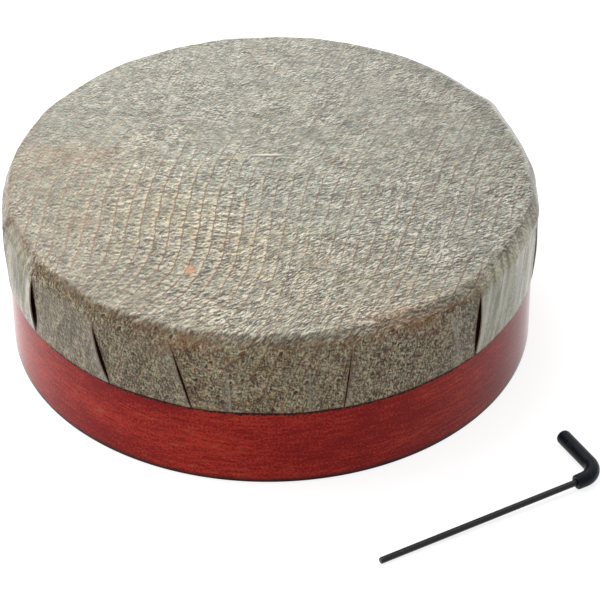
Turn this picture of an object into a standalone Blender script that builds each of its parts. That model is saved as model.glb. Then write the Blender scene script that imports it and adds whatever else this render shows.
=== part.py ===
"""Tunable kanjira: a small frame drum with a slit skin head, an inner tuning ring and one pair of jingles.

Metres, +Z up. The origin is the centre of the playing face, so the drum hangs below it.
+X is to the player's right and +Y points to the jingle slot.
"""

import math

import bmesh
import bpy
import numpy as np
from mathutils import Vector

# Fits
SEAT_GAP = 0.0003
RING_CLEARANCE = 0.0005
SOCKET_CLEARANCE = 0.00006

# Shell
SHELL_RADIUS = 0.0889
SHELL_HEIGHT = 0.0583
SHELL_WALL = 0.007
SHELL_TOP_ROUND = 0.001
SHELL_TOP_TAPER = 0.002
SHELL_TAPER_HEIGHT = 0.0055
SHELL_BASE_ROUND = 0.0006
SHELL_INNER_CHAMFER = 0.001

# Head film
FILM_THICKNESS = 0.0005
HEM_HEIGHT = 0.0295
FLAP_LIFT = 0.0006
FLAP_LIFT_REACH = 0.012
FLAP_COLUMN_DEG = 4.6

# Slits of the skirt: azimuth of the top end, drift down to the hem (degrees) and opening at the hem.
# The first ones are those in the photograph, the others go on round the back at a like spacing.
FRONT_SLITS = (
    (-149.0, 0.0, 0.0018),
    (-129.7, 4.0, 0.0012),
    (-110.8, 4.0, 0.0012),
    (-98.8, 0.4, 0.0004),
    (-82.3, 0.0, 0.0004),
    (-73.9, -1.6, 0.0007),
    (-50.7, 3.0, 0.0004),
    (-42.4, -0.5, 0.0016),
    (-12.9, -1.2, 0.0012),
)
REAR_SLIT_COUNT = 10
REAR_SLIT_SWAY_DEG = 2.5
REAR_SLIT_OPENING = 0.001

# Tuning ring
RING_LIFT = 0.0003
RING_WALL = 0.0085
RING_HEIGHT = 0.012
RING_CROWN_INSET = 0.002
RING_CROWN_ROUND = 0.0015
RING_INNER_FALL = 0.0035
RING_TRAVEL = 0.0035

# Brackets
STATION_COUNT = 6
BRACKET_WIDTH = 0.018
BRACKET_PLATE = 0.003
BRACKET_DROP = 0.022
BRACKET_BEND = 0.0012
BRACKET_CORNER = 0.003
BRACKET_HEADROOM = 0.0015
BRACKET_NOSE = 0.006

# Tuning screws
SCREW_RADIUS = 0.002
SCREW_LENGTH = 0.020
SCREW_STANDOFF = 0.0007
SCREW_TIP = 0.0008
SOCKET_DEPTH = 0.0025

# Fixing screws of the brackets
FIXING_RADIUS = 0.00145
FIXING_HEAD_RADIUS = 0.0026
FIXING_HEAD_HEIGHT = 0.002
FIXING_DEPTH = 0.0045
FIXING_SPACING = 0.010
FIXING_FROM_TOP = 0.016

# Jingles
SLOT_FLOOR = 0.00775
SLOT_SIDE_ROOM = 0.010
JINGLE_PLAY = 0.0048
JINGLE_RADIUS = 0.016
JINGLE_PLATE = 0.0008
JINGLE_CUP_RADIUS = 0.009
JINGLE_CUP_HEIGHT = 0.0035
JINGLE_HOLE_RADIUS = 0.0025
PIN_RADIUS = 0.00125
PIN_RECESS = 0.0005
PIN_ANCHOR = 0.007

# Tuning key, lying beside the drum
KEY_ACROSS_FLATS = 0.002
KEY_LONG_ARM = 0.0813
KEY_SHORT_ARM = 0.0218
KEY_BEND_RADIUS = 0.0059
KEY_CORNER_X = 0.10445
KEY_CORNER_Y = -0.0900
KEY_LONG_ARM_DEG = -152.2
SLEEVE_WALL = 0.00105
SLEEVE_ON_LONG_ARM = 0.0087
SLEEVE_END_ROUND = 0.0008

# Fineness of the round forms
RING_SEGMENTS = 80
SMALL_SEGMENTS = 14
FIXING_SEGMENTS = 10
JINGLE_SEGMENTS = 28
ARC_STEPS = 4
BEND_STEPS = 6

# Heights and radii that follow from the sizes above
BASE_Z = -(SHELL_HEIGHT + RING_LIFT + SEAT_GAP + FILM_THICKNESS)
RIM_Z = BASE_Z + SHELL_HEIGHT
HEM_Z = BASE_Z + HEM_HEIGHT
BORE_RADIUS = SHELL_RADIUS - SHELL_WALL
RING_OUTER_RADIUS = BORE_RADIUS - RING_CLEARANCE
RING_INNER_RADIUS = RING_OUTER_RADIUS - RING_WALL
RING_TOP_Z = RIM_Z + RING_LIFT
RING_BOTTOM_Z = RING_TOP_Z - RING_HEIGHT
CROWN_RADIUS = RING_OUTER_RADIUS - RING_CROWN_INSET
BRACKET_BACK_X = math.sqrt((BORE_RADIUS - SEAT_GAP) ** 2 - (BRACKET_WIDTH / 2) ** 2)
BRACKET_FACE_X = BRACKET_BACK_X - BRACKET_PLATE
BRACKET_TOP_Z = RING_BOTTOM_Z - RING_TRAVEL - BRACKET_HEADROOM
SCREW_CIRCLE = BRACKET_FACE_X - SCREW_STANDOFF - SCREW_RADIUS
SCREW_TIP_Z = RING_BOTTOM_Z - SEAT_GAP
FIXING_Z = BRACKET_TOP_Z - FIXING_FROM_TOP
FIXING_SEAT_X = BRACKET_FACE_X - SEAT_GAP
PIN_Y = SHELL_RADIUS - SHELL_WALL / 2
JINGLE_DEPTH = JINGLE_CUP_HEIGHT + JINGLE_PLATE
SLOT_LENGTH = 2 * (JINGLE_RADIUS + SLOT_SIDE_ROOM)
SLOT_HEIGHT = 2 * (JINGLE_DEPTH + SEAT_GAP) + JINGLE_PLAY
SLOT_FLOOR_Z = BASE_Z + SLOT_FLOOR
SLOT_ROOF_Z = SLOT_FLOOR_Z + SLOT_HEIGHT
SLEEVE_BORE_RADIUS = KEY_ACROSS_FLATS / math.sqrt(3) + SEAT_GAP
SLEEVE_RADIUS = SLEEVE_BORE_RADIUS + SLEEVE_WALL


def clear_scene():
    for old in list(bpy.data.objects):
        bpy.data.objects.remove(old, do_unlink=True)


def finish(name, colour, roughness, metallic=0.0):
    """A plain Principled material in the piece's own colour."""
    material = bpy.data.materials.new(name)
    material.use_nodes = True
    shader = material.node_tree.nodes["Principled BSDF"]
    shader.inputs["Base Color"].default_value = (*colour, 1.0)
    shader.inputs["Roughness"].default_value = roughness
    shader.inputs["Metallic"].default_value = metallic
    return material


def place(name, mesh, material=None, parent=None, location=(0, 0, 0), rotation=(0, 0, 0)):
    """Put a mesh into the scene as one named piece."""
    piece = bpy.data.objects.new(name, mesh)
    bpy.context.scene.collection.objects.link(piece)
    piece.location = location
    piece.rotation_euler = rotation
    piece.parent = parent
    if material and not mesh.materials:
        mesh.materials.append(material)
    return piece


def hidden(name, mesh, **where):
    """A cutter: it shapes its neighbour and is no piece itself."""
    cutter = place(name, mesh, **where)
    cutter.hide_render = True
    cutter.display_type = "WIRE"
    return cutter


def cut(piece, cutter):
    modifier = piece.modifiers.new(cutter.name, "BOOLEAN")
    modifier.operation = "DIFFERENCE"
    modifier.solver = "EXACT"
    modifier.object = cutter


def as_mesh(bm, name, smooth_deg=35.0):
    """Close a bmesh into a mesh with its faces outward, smooth but for its real edges."""
    bmesh.ops.remove_doubles(bm, verts=bm.verts, dist=1e-7)
    bmesh.ops.recalc_face_normals(bm, faces=bm.faces)
    mesh = bpy.data.meshes.new(name)
    bm.to_mesh(mesh)
    bm.free()
    mesh.shade_smooth()
    mesh.set_sharp_from_angle(angle=math.radians(smooth_deg))
    return mesh


def evaluated_mesh(piece):
    """The piece's mesh with its modifiers worked in, for copies to share."""
    depsgraph = bpy.context.evaluated_depsgraph_get()
    return bpy.data.meshes.new_from_object(piece.evaluated_get(depsgraph))


def arc(centre, radius, start_deg, end_deg, steps):
    """Points (r, z) of an arc in a turned profile, both ends included."""
    angles = np.radians(np.linspace(start_deg, end_deg, steps + 1))
    return [(centre[0] + radius * math.cos(a), centre[1] + radius * math.sin(a)) for a in angles]


def turned(name, profile, segments, ring=False):
    """A profile of (r, z) points spun about Z; a ring's profile closes on itself."""
    bm = bmesh.new()
    points = [bm.verts.new((r, 0.0, z)) for r, z in profile]
    pairs = list(zip(points, points[1:]))
    if ring:
        pairs.append((points[-1], points[0]))
    edges = [bm.edges.new(pair) for pair in pairs]
    bmesh.ops.spin(bm, geom=points + edges, cent=(0, 0, 0), axis=(0, 0, 1), angle=2 * math.pi,
                   steps=segments, use_merge=True)
    return as_mesh(bm, name)


def prism(name, outline, depth):
    """An outline in the XZ plane, pulled along Y, half to each side."""
    bm = bmesh.new()
    base = bm.faces.new([bm.verts.new((x, -depth / 2, z)) for x, z in outline])
    pulled = bmesh.ops.extrude_face_region(bm, geom=[base])
    moved = [item for item in pulled["geom"] if isinstance(item, bmesh.types.BMVert)]
    bmesh.ops.translate(bm, verts=moved, vec=(0, depth, 0))
    return as_mesh(bm, name)


def cylinder(bm, radius, start, end, segments):
    """A capped round bar between two points, added to a bmesh."""
    start, end = Vector(start), Vector(end)
    along = end - start
    made = bmesh.ops.create_cone(bm, cap_ends=True, segments=segments, radius1=radius,
                                 radius2=radius, depth=along.length)
    turn = along.to_track_quat("Z", "Y").to_matrix()
    bmesh.ops.rotate(bm, verts=made["verts"], cent=(0, 0, 0), matrix=turn)
    bmesh.ops.translate(bm, verts=made["verts"], vec=(start + end) / 2)


def station_angle(index):
    return 2 * math.pi * index / STATION_COUNT


def fixing_offsets():
    return (("a", -FIXING_SPACING / 2), ("b", FIXING_SPACING / 2))


def fixing_tip_x(offset):
    """How far out a fixing screw reaches: a set depth past the wall at its own place."""
    return math.sqrt(BORE_RADIUS ** 2 - offset ** 2) + FIXING_DEPTH


def top_edge():
    """Centre of the rounding of the shell's top edge, and the lean of the taper below it in degrees.

    The taper is the line from the end of the taper's height that just touches the rounding.
    """
    across = SHELL_TOP_TAPER + SHELL_TOP_ROUND
    down = SHELL_TAPER_HEIGHT - SHELL_TOP_ROUND
    lean = math.acos(SHELL_TOP_ROUND / math.hypot(across, down)) - math.atan2(down, across)
    return (SHELL_RADIUS - across, RIM_Z - SHELL_TOP_ROUND), math.degrees(lean)


def make_shell(material):
    """The ring of the drum: tapered top, eased base, a jingle slot, a pin hole and blind fixing holes."""
    top_centre, lean_deg = top_edge()
    base_outer = (SHELL_RADIUS - SHELL_BASE_ROUND, BASE_Z + SHELL_BASE_ROUND)
    base_inner = (BORE_RADIUS + SHELL_BASE_ROUND, BASE_Z + SHELL_BASE_ROUND)
    profile = arc(top_centre, SHELL_TOP_ROUND, 90, lean_deg, ARC_STEPS - 1)
    outer_heights = (RIM_Z - SHELL_TAPER_HEIGHT, SLOT_ROOF_Z, SLOT_FLOOR_Z)
    profile += [(SHELL_RADIUS, z) for z in outer_heights]
    profile += arc(base_outer, SHELL_BASE_ROUND, 0, -90, ARC_STEPS - 1)
    profile += arc(base_inner, SHELL_BASE_ROUND, -90, -180, ARC_STEPS - 1)
    profile += [(BORE_RADIUS, SLOT_FLOOR_Z), (BORE_RADIUS, SLOT_ROOF_Z)]
    profile += [(BORE_RADIUS, RIM_Z - SHELL_INNER_CHAMFER), (BORE_RADIUS + SHELL_INNER_CHAMFER, RIM_Z)]
    shell = place("shell", turned("shell", profile, RING_SEGMENTS, ring=True), material)

    end = SLOT_HEIGHT / 2
    middle_z = SLOT_FLOOR_Z + end
    reach = SLOT_LENGTH / 2 - end
    outline = arc((reach, middle_z), end, -90, 90, 2 * ARC_STEPS)
    outline += arc((-reach, middle_z), end, 90, 270, 2 * ARC_STEPS)
    slot = prism("slot_cutter", outline, 4 * SHELL_WALL + SLOT_LENGTH / 2)
    cut(shell, hidden("slot_cutter", slot, location=(0, PIN_Y, 0)))

    bm = bmesh.new()
    pin_bottom = (0, PIN_Y, BASE_Z - SEAT_GAP)
    pin_top = (0, PIN_Y, SLOT_ROOF_Z + PIN_ANCHOR + SEAT_GAP)
    cylinder(bm, PIN_RADIUS + SEAT_GAP, pin_bottom, pin_top, SMALL_SEGMENTS)
    cut(shell, hidden("pin_hole_cutter", as_mesh(bm, "pin_hole_cutter")))

    bm = bmesh.new()
    for index in range(STATION_COUNT):
        out = Vector((math.cos(station_angle(index)), math.sin(station_angle(index)), 0))
        side = Vector((-out.y, out.x, 0))
        for _, offset in fixing_offsets():
            foot = side * offset + Vector((0, 0, FIXING_Z))
            near = foot + out * BRACKET_FACE_X
            far = foot + out * (fixing_tip_x(offset) + SEAT_GAP)
            cylinder(bm, FIXING_RADIUS + SEAT_GAP, near, far, FIXING_SEGMENTS)
    cut(shell, hidden("fixing_hole_cutter", as_mesh(bm, "fixing_hole_cutter")))


def slit_list():
    """Every slit as (top azimuth, drift, opening), all the way round in rising azimuth."""
    slits = list(FRONT_SLITS)
    first = slits[-1][0]
    step = (slits[0][0] + 360.0 - first) / (REAR_SLIT_COUNT + 1)
    for index in range(1, REAR_SLIT_COUNT + 1):
        sway = REAR_SLIT_SWAY_DEG * (-1) ** index
        slits.append((first + index * step + sway, sway, REAR_SLIT_OPENING))
    return slits


def film_profile():
    """Outer line of the film from the ring's crown down to the hem, and the row where the slits start.

    It follows the shell's top edge at an even distance, and the slits start at the foot of the taper.
    """
    stand_off = SEAT_GAP + FILM_THICKNESS
    fold_centre, lean_deg = top_edge()
    line = [(CROWN_RADIUS, 0.0)] + arc(fold_centre, SHELL_TOP_ROUND + stand_off, 90, lean_deg, ARC_STEPS)
    slit_top = RIM_Z - SHELL_TAPER_HEIGHT + stand_off * math.tan(math.radians(lean_deg / 2))
    slit_row = len(line)
    line += [(SHELL_RADIUS + stand_off, z) for z in np.linspace(slit_top, HEM_Z, ARC_STEPS)]
    return line, slit_row


def make_head(material):
    """The skin: a flat playing face, folded over the edge into flaps that the slits divide.

    Each flap is a grid between two slits. Down from the slits' tops its edges draw apart, and its
    leading edge stands a little off the shell, dying away along the flap.
    """
    line, slit_row = film_profile()
    slit_top = line[slit_row][1]
    slits = slit_list()
    bm = bmesh.new()
    for index, (left, left_drift, left_opening) in enumerate(slits):
        right, right_drift, right_opening = slits[(index + 1) % len(slits)]
        if right < left:
            right += 360.0
        columns = math.ceil((right - left) / FLAP_COLUMN_DEG)
        rows = []
        for radius, z in line:
            down = max(0.0, (slit_top - z) / (slit_top - HEM_Z))
            spread = math.sqrt(down) / 2 / radius
            start = math.radians(left + left_drift * down) + left_opening * spread
            stop = math.radians(right + right_drift * down) - right_opening * spread
            row = []
            for azimuth in np.linspace(start, stop, columns + 1):
                near = max(0.0, 1 - (stop - azimuth) * radius / FLAP_LIFT_REACH)
                away = radius + FLAP_LIFT * down * near ** 2
                row.append(bm.verts.new((away * math.cos(azimuth), away * math.sin(azimuth), z)))
            rows.append(row)
        for upper, lower in zip(rows, rows[1:]):
            for column in range(columns):
                bm.faces.new((upper[column], lower[column], lower[column + 1], upper[column + 1]))
    bmesh.ops.remove_doubles(bm, verts=bm.verts, dist=1e-7)
    crown = [edge for edge in bm.edges if edge.is_boundary and edge.verts[0].co.z == edge.verts[1].co.z == 0]
    bmesh.ops.edgeloop_fill(bm, edges=crown)
    head = place("head", as_mesh(bm, "head"), material)
    wall = head.modifiers.new("film", "SOLIDIFY")
    wall.thickness = FILM_THICKNESS
    wall.offset = -1.0
    wall.use_even_offset = True


def make_tuning_ring(material):
    """The loose ring under the skin: a rounded crown near its outer side, falling away inwards."""
    crown = (CROWN_RADIUS, -RING_CROWN_ROUND)
    profile = [(RING_INNER_RADIUS, -RING_INNER_FALL)]
    profile += arc(crown, RING_CROWN_ROUND, 110, 20, ARC_STEPS)
    profile += [(RING_OUTER_RADIUS, -RING_CROWN_INSET - RING_CROWN_ROUND), (RING_OUTER_RADIUS, -RING_HEIGHT)]
    profile += [(RING_INNER_RADIUS, -RING_HEIGHT)]
    mesh = turned("tuning_ring", profile, RING_SEGMENTS, ring=True)
    place("tuning_ring", mesh, material, location=(0, 0, RING_TOP_Z))


def bracket_mesh():
    """An angle of bent plate: a shelf over the back leg, pierced for the tuning screw and the fixings.

    Its own origin is the top of the back face, with X outwards.
    """
    nose = SCREW_CIRCLE - BRACKET_NOSE - BRACKET_BACK_X
    outer = BRACKET_BEND + BRACKET_PLATE
    outline = [(nose, 0.0)] + arc((-outer, -outer), outer, 90, 0, ARC_STEPS)
    outline += [(0.0, -BRACKET_DROP), (-BRACKET_PLATE, -BRACKET_DROP)]
    outline += arc((-outer, -outer), BRACKET_BEND, 0, 90, ARC_STEPS)
    outline += [(nose, -BRACKET_PLATE)]
    bm = bmesh.new()
    bm.from_mesh(prism("bracket", outline, BRACKET_WIDTH))
    ends = [edge for edge in bm.edges if edge.calc_length() < BRACKET_PLATE * 1.01
            and all(vert.co.x < nose + 1e-6 or vert.co.z < -BRACKET_DROP + 1e-6 for vert in edge.verts)]
    bmesh.ops.bevel(bm, geom=ends, offset=BRACKET_CORNER, segments=3, profile=0.5, affect="EDGES")
    blank = place("bracket_blank", as_mesh(bm, "bracket_blank"))

    bm = bmesh.new()
    screw_x = SCREW_CIRCLE - BRACKET_BACK_X
    cylinder(bm, SCREW_RADIUS + SEAT_GAP, (screw_x, 0, -2 * BRACKET_PLATE), (screw_x, 0, BRACKET_PLATE),
             SMALL_SEGMENTS)
    for _, offset in fixing_offsets():
        cylinder(bm, FIXING_RADIUS + SEAT_GAP, (-2 * BRACKET_PLATE, offset, -FIXING_FROM_TOP),
                 (BRACKET_PLATE, offset, -FIXING_FROM_TOP), FIXING_SEGMENTS)
    drill = hidden("bracket_cutter", as_mesh(bm, "bracket_cutter"))
    cut(blank, drill)
    mesh = evaluated_mesh(blank)
    bpy.data.objects.remove(blank)
    bpy.data.objects.remove(drill)
    return mesh


def tuning_screw_mesh():
    """A headless screw, tip up at its own origin, with a hexagon socket in its lower end."""
    tip = SCREW_RADIUS - SCREW_TIP
    end = SCREW_RADIUS - SCREW_TIP / 2
    profile = [(0, 0), (tip, 0), (SCREW_RADIUS, -SCREW_TIP), (SCREW_RADIUS, SCREW_TIP / 2 - SCREW_LENGTH),
               (end, -SCREW_LENGTH), (0, -SCREW_LENGTH)]
    blank = place("screw_blank", turned("screw_blank", profile, SMALL_SEGMENTS))
    bm = bmesh.new()
    corner = (KEY_ACROSS_FLATS / 2 + SOCKET_CLEARANCE) / math.cos(math.pi / 6)
    cylinder(bm, corner, (0, 0, -SCREW_LENGTH - SOCKET_DEPTH), (0, 0, -SCREW_LENGTH + SOCKET_DEPTH), 6)
    broach = hidden("socket_cutter", as_mesh(bm, "socket_cutter"))
    cut(blank, broach)
    mesh = evaluated_mesh(blank)
    bpy.data.objects.remove(blank)
    bpy.data.objects.remove(broach)
    return mesh


def fixing_mesh(offset):
    """A pan-head screw along its own Z: head above the origin, pointed shank below."""
    length = fixing_tip_x(offset) - FIXING_SEAT_X
    point = 2 * FIXING_RADIUS
    profile = [(0, FIXING_HEAD_HEIGHT), (FIXING_HEAD_RADIUS / 2, FIXING_HEAD_HEIGHT)]
    profile += [(FIXING_HEAD_RADIUS, FIXING_HEAD_HEIGHT / 2), (FIXING_HEAD_RADIUS, 0), (FIXING_RADIUS, 0)]
    profile += [(FIXING_RADIUS, point - length), (0, -length)]
    return turned("fixing", profile, FIXING_SEGMENTS)


def make_stations(bracket_finish, screw_finish, fixing_finish):
    """Six tuning stations round the bore: a bracket, its two fixings and its tuning screw."""
    bracket = bracket_mesh()
    screw = tuning_screw_mesh()
    fixings = {letter: fixing_mesh(offset) for letter, offset in fixing_offsets()}
    for index in range(STATION_COUNT):
        number = index + 1
        station = bpy.data.objects.new(f"station_{number}", None)
        bpy.context.scene.collection.objects.link(station)
        station.rotation_euler.z = station_angle(index)
        place(f"bracket_{number}", bracket, bracket_finish, station, (BRACKET_BACK_X, 0, BRACKET_TOP_Z))
        place(f"tuning_screw_{number}", screw, screw_finish, station, (SCREW_CIRCLE, 0, SCREW_TIP_Z))
        for letter, offset in fixing_offsets():
            place(f"fixing_{number}{letter}", fixings[letter], fixing_finish, station,
                  (FIXING_SEAT_X, offset, FIXING_Z), (0, -math.pi / 2, 0))


def jingle_mesh():
    """A stamped disc with a cup: flat flange below, the cup's hole at the top, its rim at z = 0."""
    cup = JINGLE_CUP_RADIUS
    rise = JINGLE_CUP_HEIGHT
    radii = np.linspace(cup, JINGLE_HOLE_RADIUS, 2 * ARC_STEPS - 1)
    wave = rise * (1 + np.cos(np.pi * (radii - JINGLE_HOLE_RADIUS) / (cup - JINGLE_HOLE_RADIUS))) / 2
    lower = [(JINGLE_RADIUS, 0.0)] + list(zip(radii, wave))
    upper = [(r, z + JINGLE_PLATE) for r, z in reversed(lower)]
    return turned("jingle", lower + upper, JINGLE_SEGMENTS, ring=True)


def make_jingles(jingle_finish, pin_finish):
    """Two discs rim to rim on one pin, cups outwards, lying on the slot's floor."""
    disc = jingle_mesh()
    lower_rim_z = SLOT_FLOOR_Z + SEAT_GAP + JINGLE_DEPTH
    place("lower_jingle", disc, jingle_finish, location=(0, PIN_Y, lower_rim_z), rotation=(math.pi, 0, 0))
    place("upper_jingle", disc, jingle_finish, location=(0, PIN_Y, lower_rim_z + SEAT_GAP))

    length = SLOT_ROOF_Z + PIN_ANCHOR - BASE_Z - PIN_RECESS
    ease = PIN_RADIUS / 3
    profile = [(0, length), (PIN_RADIUS - ease, length), (PIN_RADIUS, length - ease)]
    profile += [(PIN_RADIUS, ease), (PIN_RADIUS - ease, 0), (0, 0)]
    pin = turned("jingle_pin", profile, SMALL_SEGMENTS)
    place("jingle_pin", pin, pin_finish, location=(0, PIN_Y, BASE_Z + PIN_RECESS))


def key_path():
    """Middle line of the key from the short arm's end round the bend to the tip, at rest on the ground.

    The grip's open end rests on the ground, and the thinner rod slopes down until its tip rests too.
    """
    turn = math.radians(KEY_LONG_ARM_DEG)
    fall = (SLEEVE_RADIUS - KEY_ACROSS_FLATS / 2) / (KEY_LONG_ARM - SLEEVE_ON_LONG_ARM)
    corner_z = BASE_Z + SLEEVE_RADIUS + fall * SLEEVE_ON_LONG_ARM
    corner = Vector((KEY_CORNER_X, KEY_CORNER_Y, corner_z))
    along = Vector((math.cos(turn), math.sin(turn), -fall))
    across = Vector((math.sin(turn), -math.cos(turn), 0))
    bend = KEY_BEND_RADIUS
    stations = [corner + across * (KEY_SHORT_ARM - SLEEVE_WALL - SEAT_GAP)]
    for angle in np.linspace(0, math.pi / 2, BEND_STEPS + 1):
        step = across * (1 - math.sin(angle)) + along * (1 - math.cos(angle))
        stations.append(corner + step * bend)
    stations.append(corner + along * SLEEVE_ON_LONG_ARM)
    stations.append(corner + along * KEY_LONG_ARM)
    return stations


def directions(stations):
    """Unit tangents at the stations of a path: the mean of the steps before and after."""
    steps = [(b - a).normalized() for a, b in zip(stations, stations[1:])]
    inner = [(a + b).normalized() for a, b in zip(steps, steps[1:])]
    return [steps[0]] + inner + [steps[-1]]


def add_loop(bm, centre, tangent, radius, sides, phase):
    """A ring of vertices square to the path."""
    side = tangent.cross(Vector((0, 0, 1))).normalized()
    up = side.cross(tangent)
    angles = [2 * math.pi * (k + phase) / sides for k in range(sides)]
    return [bm.verts.new(centre + (side * math.cos(a) + up * math.sin(a)) * radius) for a in angles]


def skin_loops(bm, loops):
    """Faces between following rings of vertices, with both ends closed."""
    for near, far in zip(loops, loops[1:]):
        for k in range(len(near)):
            after = (k + 1) % len(near)
            bm.faces.new((near[k], near[after], far[after], far[k]))
    bm.faces.new(loops[0])
    bm.faces.new(loops[-1])


def make_key(rod_finish, sleeve_finish):
    """The bent hexagon key and the dipped grip over its short arm and bend."""
    stations = key_path()
    tangents = directions(stations)
    lift = bpy.data.objects.new("key_lift", None)
    bpy.context.scene.collection.objects.link(lift)

    bm = bmesh.new()
    corner = KEY_ACROSS_FLATS / math.sqrt(3)
    skin_loops(bm, [add_loop(bm, p, t, corner, 6, 0.0) for p, t in zip(stations, tangents)])
    place("key_rod", as_mesh(bm, "key_rod"), rod_finish, lift)

    bm = bmesh.new()
    blind, cover = stations[0], tangents[0]
    outer_end = blind - cover * (SLEEVE_WALL + SEAT_GAP)
    rings = [(outer_end, cover, SLEEVE_RADIUS - SLEEVE_END_ROUND)]
    rings += [(outer_end + cover * SLEEVE_END_ROUND, cover, SLEEVE_RADIUS)]
    covered = list(zip(stations, tangents))[1:-1]
    rings += [(p, t, SLEEVE_RADIUS) for p, t in covered]
    rings += [(p, t, SLEEVE_BORE_RADIUS) for p, t in reversed(covered)]
    rings += [(blind - cover * SEAT_GAP, cover, SLEEVE_BORE_RADIUS)]
    skin_loops(bm, [add_loop(bm, p, t, r, SMALL_SEGMENTS, 0.5) for p, t, r in rings])
    place("key_sleeve", as_mesh(bm, "key_sleeve"), sleeve_finish, lift)


def main():
    clear_scene()
    make_shell(finish("red_varnish", (0.22, 0.018, 0.014), 0.3))
    make_head(finish("skin_print", (0.26, 0.22, 0.17), 0.7))
    make_tuning_ring(finish("ring_ply", (0.45, 0.29, 0.15), 0.6))
    make_stations(finish("bracket_steel", (0.30, 0.30, 0.31), 0.4, 1.0),
                  finish("screw_black_steel", (0.03, 0.03, 0.032), 0.4, 1.0),
                  finish("fixing_zinc", (0.55, 0.55, 0.55), 0.3, 1.0))
    make_jingles(finish("jingle_nickel_silver", (0.60, 0.56, 0.48), 0.25, 1.0),
                 finish("pin_steel", (0.40, 0.40, 0.40), 0.3, 1.0))
    make_key(finish("key_steel", (0.02, 0.02, 0.022), 0.4, 1.0),
             finish("grip_black", (0.008, 0.008, 0.009), 0.5))


main()
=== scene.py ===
"""Looks of the tunable kanjira: printed skin, red varnished shell, tuning works, jingles and key.

Metres, +Z up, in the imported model's frame: the origin is the centre of the playing face.
"""

import math
from itertools import chain
from types import SimpleNamespace

import bmesh
import bpy
import numpy as np
from bpy.props import FloatProperty, FloatVectorProperty, PointerProperty
from mathutils import Matrix, Vector


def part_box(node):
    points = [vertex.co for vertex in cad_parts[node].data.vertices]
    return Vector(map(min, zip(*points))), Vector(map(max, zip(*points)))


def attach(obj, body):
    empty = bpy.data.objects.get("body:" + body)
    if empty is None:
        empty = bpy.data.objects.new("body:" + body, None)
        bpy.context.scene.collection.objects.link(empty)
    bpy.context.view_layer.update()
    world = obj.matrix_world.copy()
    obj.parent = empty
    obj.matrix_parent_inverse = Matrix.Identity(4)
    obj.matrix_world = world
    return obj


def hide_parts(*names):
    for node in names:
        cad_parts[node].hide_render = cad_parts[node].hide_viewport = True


bl_info = {
    "name": "Kanjira Looks",
    "version": (1, 0, 0),
    "blender": (4, 5, 0),
    "location": "View3D > Sidebar > Kanjira",
    "description": "Dresses a tunable kanjira: skin head, varnished shell, tuning works, jingles and key",
    "category": "Object",
}

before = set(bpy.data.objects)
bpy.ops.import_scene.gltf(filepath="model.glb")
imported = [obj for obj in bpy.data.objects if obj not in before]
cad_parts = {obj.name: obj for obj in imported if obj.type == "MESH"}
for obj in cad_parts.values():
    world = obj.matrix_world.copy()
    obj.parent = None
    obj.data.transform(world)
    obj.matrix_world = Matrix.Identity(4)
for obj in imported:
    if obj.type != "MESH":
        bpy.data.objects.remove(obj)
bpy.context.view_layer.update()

SHELL_LOW, SHELL_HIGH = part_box("shell")
SHELL_RADIUS = SHELL_HIGH.x
BASE_Z = SHELL_LOW.z
RIM_Z = SHELL_HIGH.z
HEM_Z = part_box("head")[0].z
RING_LOW, RING_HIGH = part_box("tuning_ring")
RING_RADIUS = RING_HIGH.x
STATIONS = range(1, 7)
FIXING_LETTERS = "ab"
TAU = 2 * math.pi

# Slits of the skirt, in rising azimuth: azimuth of the top end and drift down to the hem (degrees), height of
# the top end over the base, widest opening (metres), the share of the way down where it starts to open and
# where it is widest, the share of the opening left at the hem, the share of it that the flap after the slit
# gives up, and how far the edges before and after the slit stand off (metres).
AZIMUTH, DRIFT, TOP, WIDEST, OPENS, PEAK, AT_HEM, AFTER, LIFT_BEFORE, LIFT_AFTER = range(10)
FRONT_SLITS = (
    (-148.9, -0.6, 0.0518, 0.0021, 0.00, 0.62, 0.10, 0.85, 0.0014, 0.0002),
    (-129.7, 4.0, 0.0534, 0.0011, 0.12, 0.66, 0.45, 0.50, 0.0012, 0.0001),
    (-110.8, 4.0, 0.0539, 0.0009, 0.04, 0.55, 0.60, 0.50, 0.0006, 0.0001),
    (-98.8, 0.4, 0.0460, 0.0001, 0.00, 0.50, 0.60, 0.50, 0.0005, 0.0001),
    (-82.3, 0.0, 0.0473, 0.0001, 0.00, 0.50, 0.60, 0.50, 0.0001, 0.0005),
    (-73.9, -1.6, 0.0523, 0.0006, 0.04, 0.50, 0.60, 0.50, 0.0001, 0.0004),
    (-50.7, 3.0, 0.0540, 0.0001, 0.00, 0.50, 0.60, 0.50, 0.0007, 0.0001),
    (-42.4, -0.5, 0.0537, 0.0016, 0.02, 0.52, 0.50, 0.25, 0.0001, 0.0012),
    (-12.9, -1.2, 0.0500, 0.0014, 0.00, 0.50, 0.50, 0.50, 0.0004, 0.0008),
)
REAR_SLIT_COUNT = 10
# A slit that opens less than this is drawn as a thin painted highlight line.
CLOSED_OPENING = 0.0002
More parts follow.
